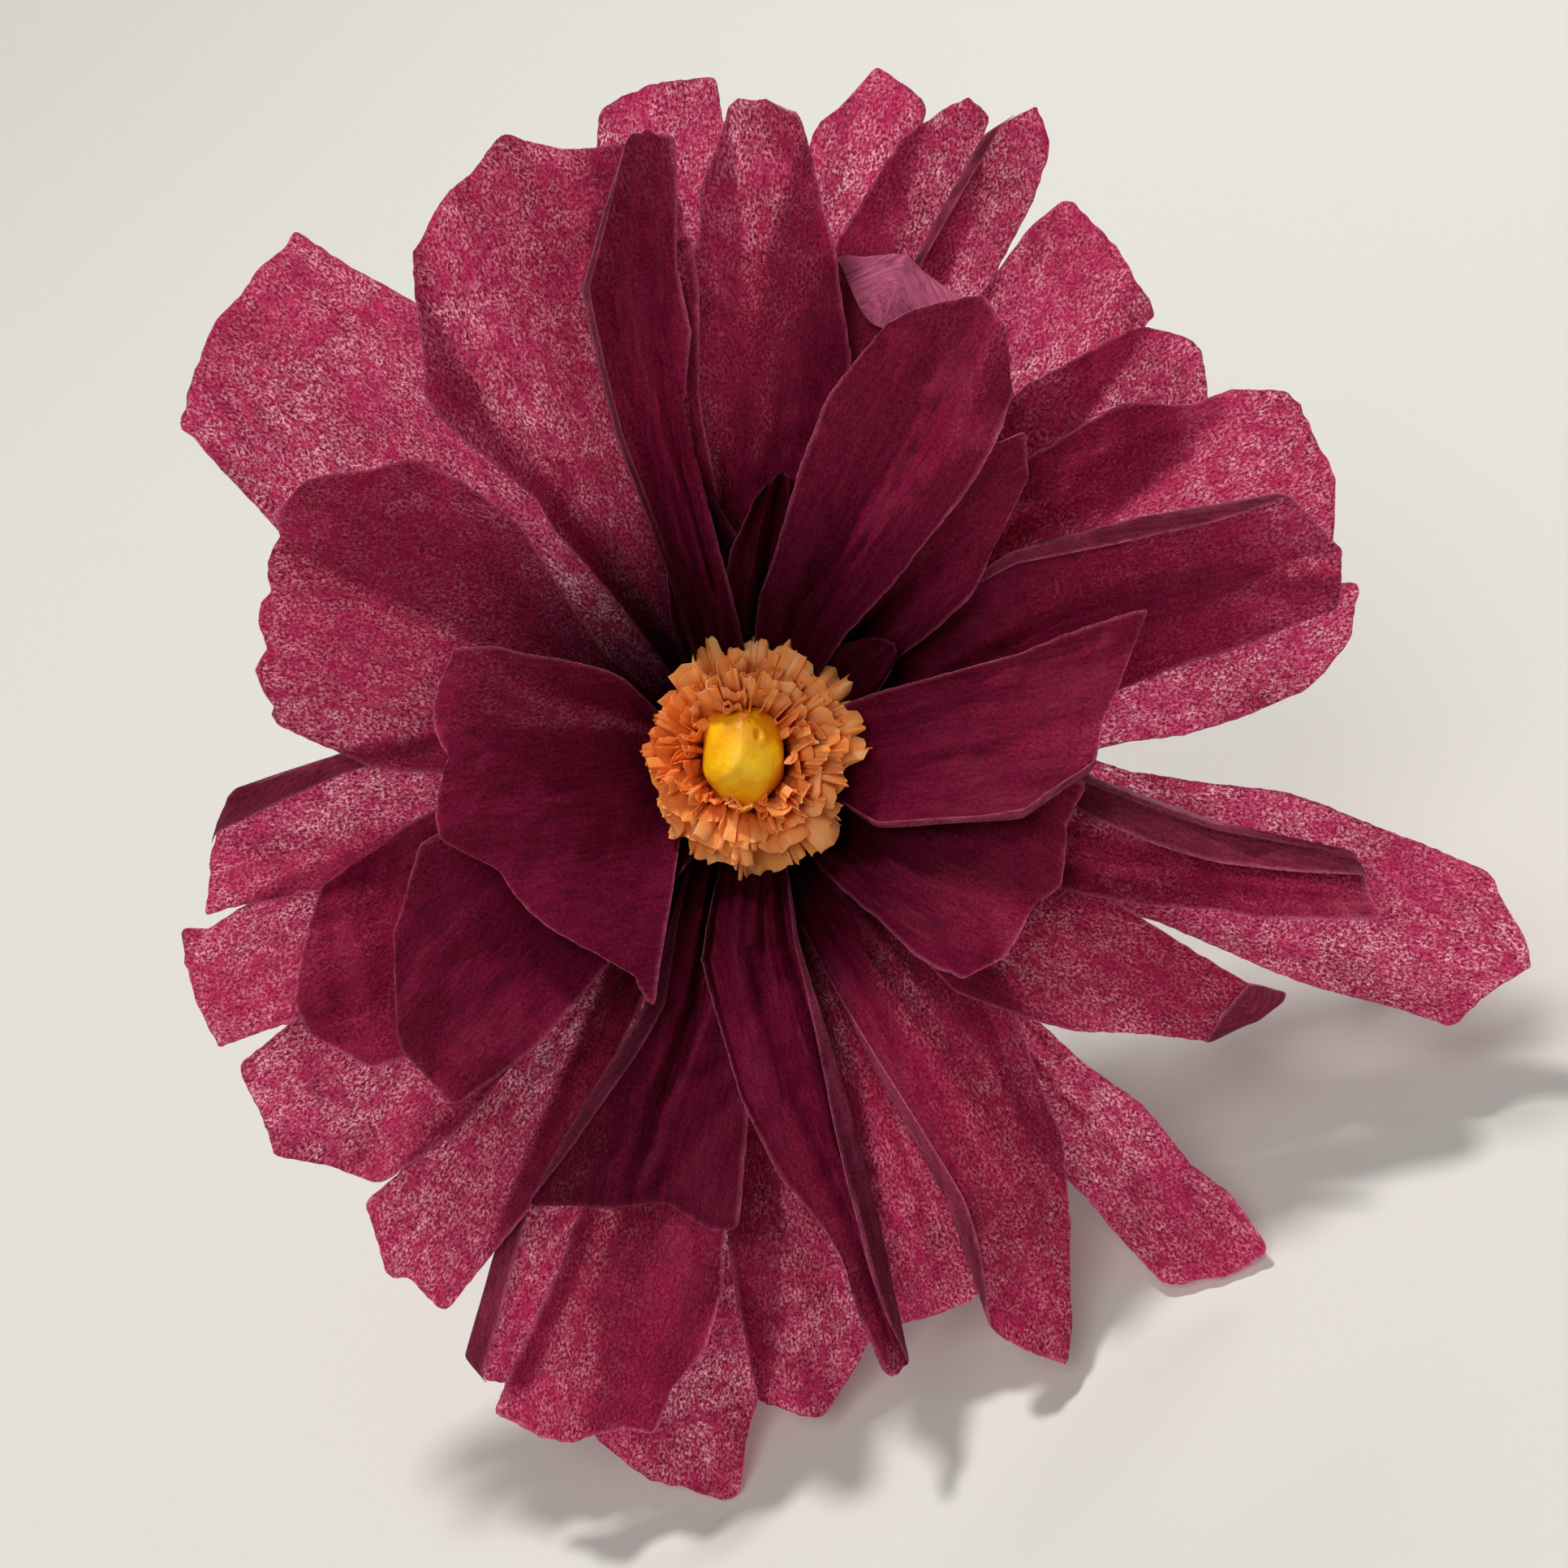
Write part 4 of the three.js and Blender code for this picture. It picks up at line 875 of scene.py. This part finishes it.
# Bud: yellow stretched paper drawn over a ball and twisted shut, which leaves soft flat facets,
# fine wrinkles with a satin shine and a small knot
budShape = {
    "width": 12.8, "height": 15.2, "depth": 15.5,
    "foot": 2,  # over the datum
    "facets": 17,
    "softness": 13,  # low is rounder
    "knot": (0.35, 0.42, 0.84),  # its direction
    "knotRise": 0.10, "knotWidth": 0.2,
    "holeDepth": 0.17, "holeWidth": 0.1,
    "seed": 5, "spiral": 2.4, "stray": 0.3,  # radians from one facet to the next
    "rings": 62, "sides": 96,
}
budLook = {
    "shade": "#f0a008", "light": "#ffcc14",
    "wrinkles": 650,  # a metre, so about 1.5 mm apart
    "patches": 200,  # a metre, so 5 mm across
    "blotch": (0.35, 0.65),
    "bump": 0.00045,  # m
}


def budMaterial():
    material, tree = newMaterial("yellowStretchedPaper")
    place = addNode(tree, "TexCoord").outputs["Object"]
    wrinkles = addNode(tree, "TexNoise", {"Vector": place, "Scale": budLook["wrinkles"], "Detail": 4,
        "Roughness": 0.55, "Distortion": 0.8})
    patches = addNode(tree, "TexNoise", {"Vector": place, "Scale": budLook["patches"], "Detail": 2})
    blotch = addNode(tree, "MapRange", [patches, *budLook["blotch"]])
    colour = addNode(tree, "Mix", {"Factor": blotch, "A": linear(budLook["shade"]),
        "B": linear(budLook["light"])}, data_type="RGBA")
    paperEnd(tree, wrinkles, 0.5, budLook["bump"], colour, 0.34, 0.35)
    return material


# The distance to a rounded polyhedron: the sum of the facets' shares to a high power
def facetedRadius(direction, normals):
    share = np.maximum(direction @ normals.T, 0) ** budShape["softness"]
    return share.sum(-1) ** (-1 / budShape["softness"])


def addBud():
    shape = budShape
    rng = np.random.default_rng(shape["seed"])
    level = 1 - 2 * (np.arange(shape["facets"]) + 0.5) / shape["facets"]
    turn = np.arange(shape["facets"]) * shape["spiral"]
    turn = turn + rng.uniform(-shape["stray"], shape["stray"], shape["facets"])
    flat = np.sqrt(1 - level ** 2)
    normals = np.stack([flat * np.cos(turn), flat * np.sin(turn), level], 1)
    down = np.linspace(0, math.pi, shape["rings"])[:, None]
    around = np.linspace(0, 2 * math.pi, shape["sides"], endpoint=False)[None, :]
    direction = np.stack(np.broadcast_arrays(np.sin(down) * np.cos(around), np.sin(down) * np.sin(around),
        -np.cos(down)), -1)
    radius = facetedRadius(direction, normals)[..., None]
    knot = np.array(shape["knot"])
    near = np.arccos(np.clip(direction @ (knot / np.linalg.norm(knot)), -1, 1))[..., None]
    radius = radius + shape["knotRise"] * np.exp(-(near / shape["knotWidth"]) ** 2)
    radius = radius - shape["holeDepth"] * np.exp(-(near / shape["holeWidth"]) ** 2)
    size = np.array([shape["width"], shape["height"], shape["depth"]]) / 2
    rings = direction * radius * size + np.array([0, 0, shape["foot"] + shape["depth"] / 2])
    addClosed("bud", "bud", rings, budMaterial())


# Rings from one pole to the other: the first and the last ring are one point each, so their
# faces are triangles
def addClosed(name, node, rings, material):
    m, n = rings.shape[:2]
    vertices = np.concatenate([rings[:1, 0], rings[1:-1].reshape(-1, 3), rings[-1:, 0]])
    body = gridFaces(m - 2, n, closedColumns=True)[:, ::-1] + 1
    j = np.arange(n)
    after = (j + 1) % n
    top = (m - 2) * n + 1
    low = np.stack([np.zeros(n, int), after + 1, j + 1], 1)
    high = np.stack([np.full(n, top), top - n + j, top - n + after], 1)
    split = np.concatenate([body[:, [0, 1, 2]], body[:, [0, 2, 3]]])
    addPiece(name, node, vertices, np.concatenate([split, low, high]), [material])


addBud()
print("bud made")


# Stem: a drawn steel wire, with a grey satin face and fine scratches along it, wound in green
# floral tape: waxed crepe paper, half matt, with fine creases, a mottled green and a small step
# at each lap
stem = {
    "wire": 1.6, "tapeInside": 2.2, "tape": 3.4,
    "bare": 8,  # mm of wire that shows past the tape
    "wireTop": 1.7,
    "lap": 6.5,  # mm along the stem for each turn of the tape
    "step": 0.13,  # of a lap's edge
    "seatFoot": -43, "seatShoulder": -1.5, "seatTop": 0,
    "cone": 20, "hollow": 1.9,  # mm of the seat's tapered foot, and how slender it starts
    "seatLap": 4.2, "seatStep": 0.35,
    "lapEdge": (0.88, 0.12),  # of a turn, where the tape drops back
    "lapEnd": 2,  # mm at each end without a step
    "gap": 0.3,
    "rim": 0.15,  # mm, the wire's rounded ends
    "wireRings": 40, "wireSides": 24,
    "tapeSpacing": 0.4, "tapeSides": 48,
    "seatRings": 110, "seatSides": 72,
}
wireLook = {
    "steel": "#9a9b9a",
    "scratches": 900,  # a metre
    "span": (0.3, 0.7),
    "roughness": (0.28, 0.46),
}
tapeLook = {
    "shade": "#4a5f33", "light": "#6f8550",
    "creases": 1400,  # a metre, so about 0.7 mm apart
    "mottle": 250,  # a metre, so 4 mm across
    "span": (0.3, 0.7),
    "bump": 0.0002,  # m
}


def wireMaterial():
    material, tree = newMaterial("drawnSteelWire")
    place = addNode(tree, "TexCoord").outputs["Object"]
    scratches = addNode(tree, "TexNoise", {"Vector": place, "Scale": wireLook["scratches"], "Detail": 3})
    tone = addNode(tree, "MapRange", [scratches, *wireLook["span"], *wireLook["roughness"]])
    steel = addNode(tree, "BsdfPrincipled", {"Base Color": linear(wireLook["steel"]), "Metallic": 1,
        "Roughness": tone})
    addNode(tree, "OutputMaterial", {"Surface": steel})
    return material


def tapeMaterial():
    material, tree = newMaterial("greenFloralTape")
    place = addNode(tree, "TexCoord").outputs["Object"]
    creases = addNode(tree, "TexNoise", {"Vector": place, "Scale": tapeLook["creases"], "Detail": 3,
        "Roughness": 0.6})
    mottle = addNode(tree, "TexNoise", {"Vector": place, "Scale": tapeLook["mottle"], "Detail": 3})
    share = addNode(tree, "MapRange", [mottle, *tapeLook["span"]])
    colour = addNode(tree, "Mix", {"Factor": share, "A": linear(tapeLook["shade"]),
        "B": linear(tapeLook["light"])}, data_type="RGBA")
    paperEnd(tree, creases, 0.7, tapeLook["bump"], colour, 0.5, 0.4)
    return material


def ringsOf(radius, height, sides):
    around = np.linspace(0, 2 * math.pi, sides, endpoint=False)[None, :]
    radius, height = (np.asarray(values, float).reshape(len(values), -1) for values in (radius, height))
    return np.stack(np.broadcast_arrays(radius * np.cos(around), radius * np.sin(around), height), -1)


def addWire():
    radius, end, rim, count = stem["wire"] / 2, stem["wireTop"], stem["rim"], stem["wireRings"]
    start = -stemLength
    height = [start, start, start + rim, *np.linspace(start + 1, end - 1, count), end - rim, end, end]
    rings = ringsOf([0, radius - rim, *[radius] * (count + 2), radius - rim, 0], height, stem["wireSides"])
    addClosed("stemWire", "stem_wire", rings, wireMaterial())


# Tape wound round a core with a plain bore: the outside grows by one step in each lap and drops
# back at its edge. The profile closes on itself, and it and the rings both go round.
def addWound(name, node, radius, height, lap, step, sides, material):
    around = np.linspace(0, 1, sides, endpoint=False)[None, :]
    turns = (height[:, None] / lap + around) % 1
    edge = smooth(np.minimum(height - height[0], height[-1] - height) / stem["lapEnd"])[:, None]
    grown = step * (turns - ramp(turns, *stem["lapEdge"])) * edge
    outside = ringsOf(radius[:, None] + grown, height, sides)
    inside = ringsOf([stem["tapeInside"] / 2] * 2, [height[-1], height[0]], sides)
    rings = np.concatenate([outside, inside])
    m, n = rings.shape[:2]
    faces = gridFaces(m, n, closedRows=True, closedColumns=True)[:, ::-1]
    addPiece(name, node, rings.reshape(-1, 3), faces, [material])


def addStem():
    tape = tapeMaterial()
    addWire()
    height = np.arange(-stemLength + stem["bare"], stem["seatFoot"] - stem["gap"], stem["tapeSpacing"])
    addWound("stemTape", "stem_tape", np.full(len(height), stem["tape"] / 2), height, stem["lap"],
        stem["step"], stem["tapeSides"], tape)
    height = np.linspace(stem["seatFoot"], stem["seatShoulder"], stem["seatRings"])
    height = np.append(height, stem["seatTop"])
    cone = np.clip((height - stem["seatFoot"]) / stem["cone"], 0, 1) ** stem["hollow"]
    radius = lerp(stem["tape"] / 2, seatRadius, cone)
    radius[-1] += stem["seatShoulder"]
    addWound("petalSeat", "petal_seat", radius, height, stem["seatLap"], stem["seatStep"],
        stem["seatSides"], tape)


addStem()
print("stem made")


setting = {
    "backdrop": "#e0ddd6",
    "floor": "#d0cdc6",
    "halfFloor": 12,  # m
    "farFloor": (0.5, 2.2),  # m from the middle, where the floor turns into the backdrop
    "sky": 0.22,  # strength of the light from all round
}


# Rays that see the backdrop's own colour: from the camera, or by way of metal or glass
def backdropRays(tree):
    rays = addNode(tree, "LightPath").outputs
    return chained(tree, "Math", [rays["Is Camera Ray"], rays["Is Glossy Ray"], rays["Is Transmission Ray"]],
        operation="MAXIMUM")


# Floor and backdrop: a wide pale plane under a pale sky
def addStage():
    mesh = bpy.data.meshes.new("floor")
    half = setting["halfFloor"]
    corners = [(-half, -half, 0), (half, -half, 0), (half, half, 0), (-half, half, 0)]
    mesh.from_pydata(corners, [], [(0, 1, 2, 3)])
    floor = bpy.data.objects.new("floor", mesh)
    bpy.context.scene.collection.objects.link(floor)
    material, tree = newMaterial("paleFloor")
    paint = addNode(tree, "BsdfPrincipled", {"Base Color": linear(setting["floor"]), "Roughness": 0.9,
        "Specular IOR Level": 0.1})
    place = addNode(tree, "TexCoord").outputs["Object"]
    away = addNode(tree, "VectorMath", [place], operation="LENGTH")
    far = addNode(tree, "MapRange", [away, *setting["farFloor"]])
    far = addNode(tree, "Math", [far, backdropRays(tree)], operation="MULTIPLY")
    glow = addNode(tree, "Emission", {"Color": linear(setting["backdrop"]), "Strength": 1})
    both = addNode(tree, "MixShader", [far, paint, glow])
    addNode(tree, "OutputMaterial", {"Surface": both})
    mesh.materials.append(material)
    world = bpy.data.worlds.new("world")
    world.use_nodes = True
    tree = world.node_tree
    tree.nodes.clear()
    seen = addNode(tree, "Background", {"Color": linear(setting["backdrop"]), "Strength": 1})
    lit = addNode(tree, "Background", {"Color": (1, 1, 1, 1), "Strength": setting["sky"]})
    mixed = addNode(tree, "MixShader", [backdropRays(tree), lit, seen])
    addNode(tree, "OutputWorld", {"Surface": mixed})
    bpy.context.scene.world = world


# The direction in the head's own frame, the distance and size in metres, and the watts
lamps = {
    "key": ((-0.45, 0.95, 0.35), 2.4, 0.35, 42),
    "behind": ((0.5, 0.75, -0.75), 2.2, 1.2, 47),
    "fill": ((-0.3, 0.2, 0.9), 2.4, 1.2, 20.5),
}


# A soft lamp that points at the head
def addLamp(name, direction, distance, size, watts):
    data = bpy.data.lights.new(name, "AREA")
    data.shape = "DISK"
    data.size = size
    data.energy = watts
    lamp = bpy.data.objects.new(name, data)
    towards = np.array(direction) @ headTurn
    towards = towards / np.linalg.norm(towards)
    lamp.location = datum + towards * distance
    lamp.rotation_euler = Vector(towards.tolist()).to_track_quat("Z", "Y").to_euler()
    bpy.context.scene.collection.objects.link(lamp)


addStage()
for name, lamp in lamps.items():
    addLamp(name, *lamp)
bpy.context.scene.view_settings.view_transform = "Standard"
print("stage and lamps made")
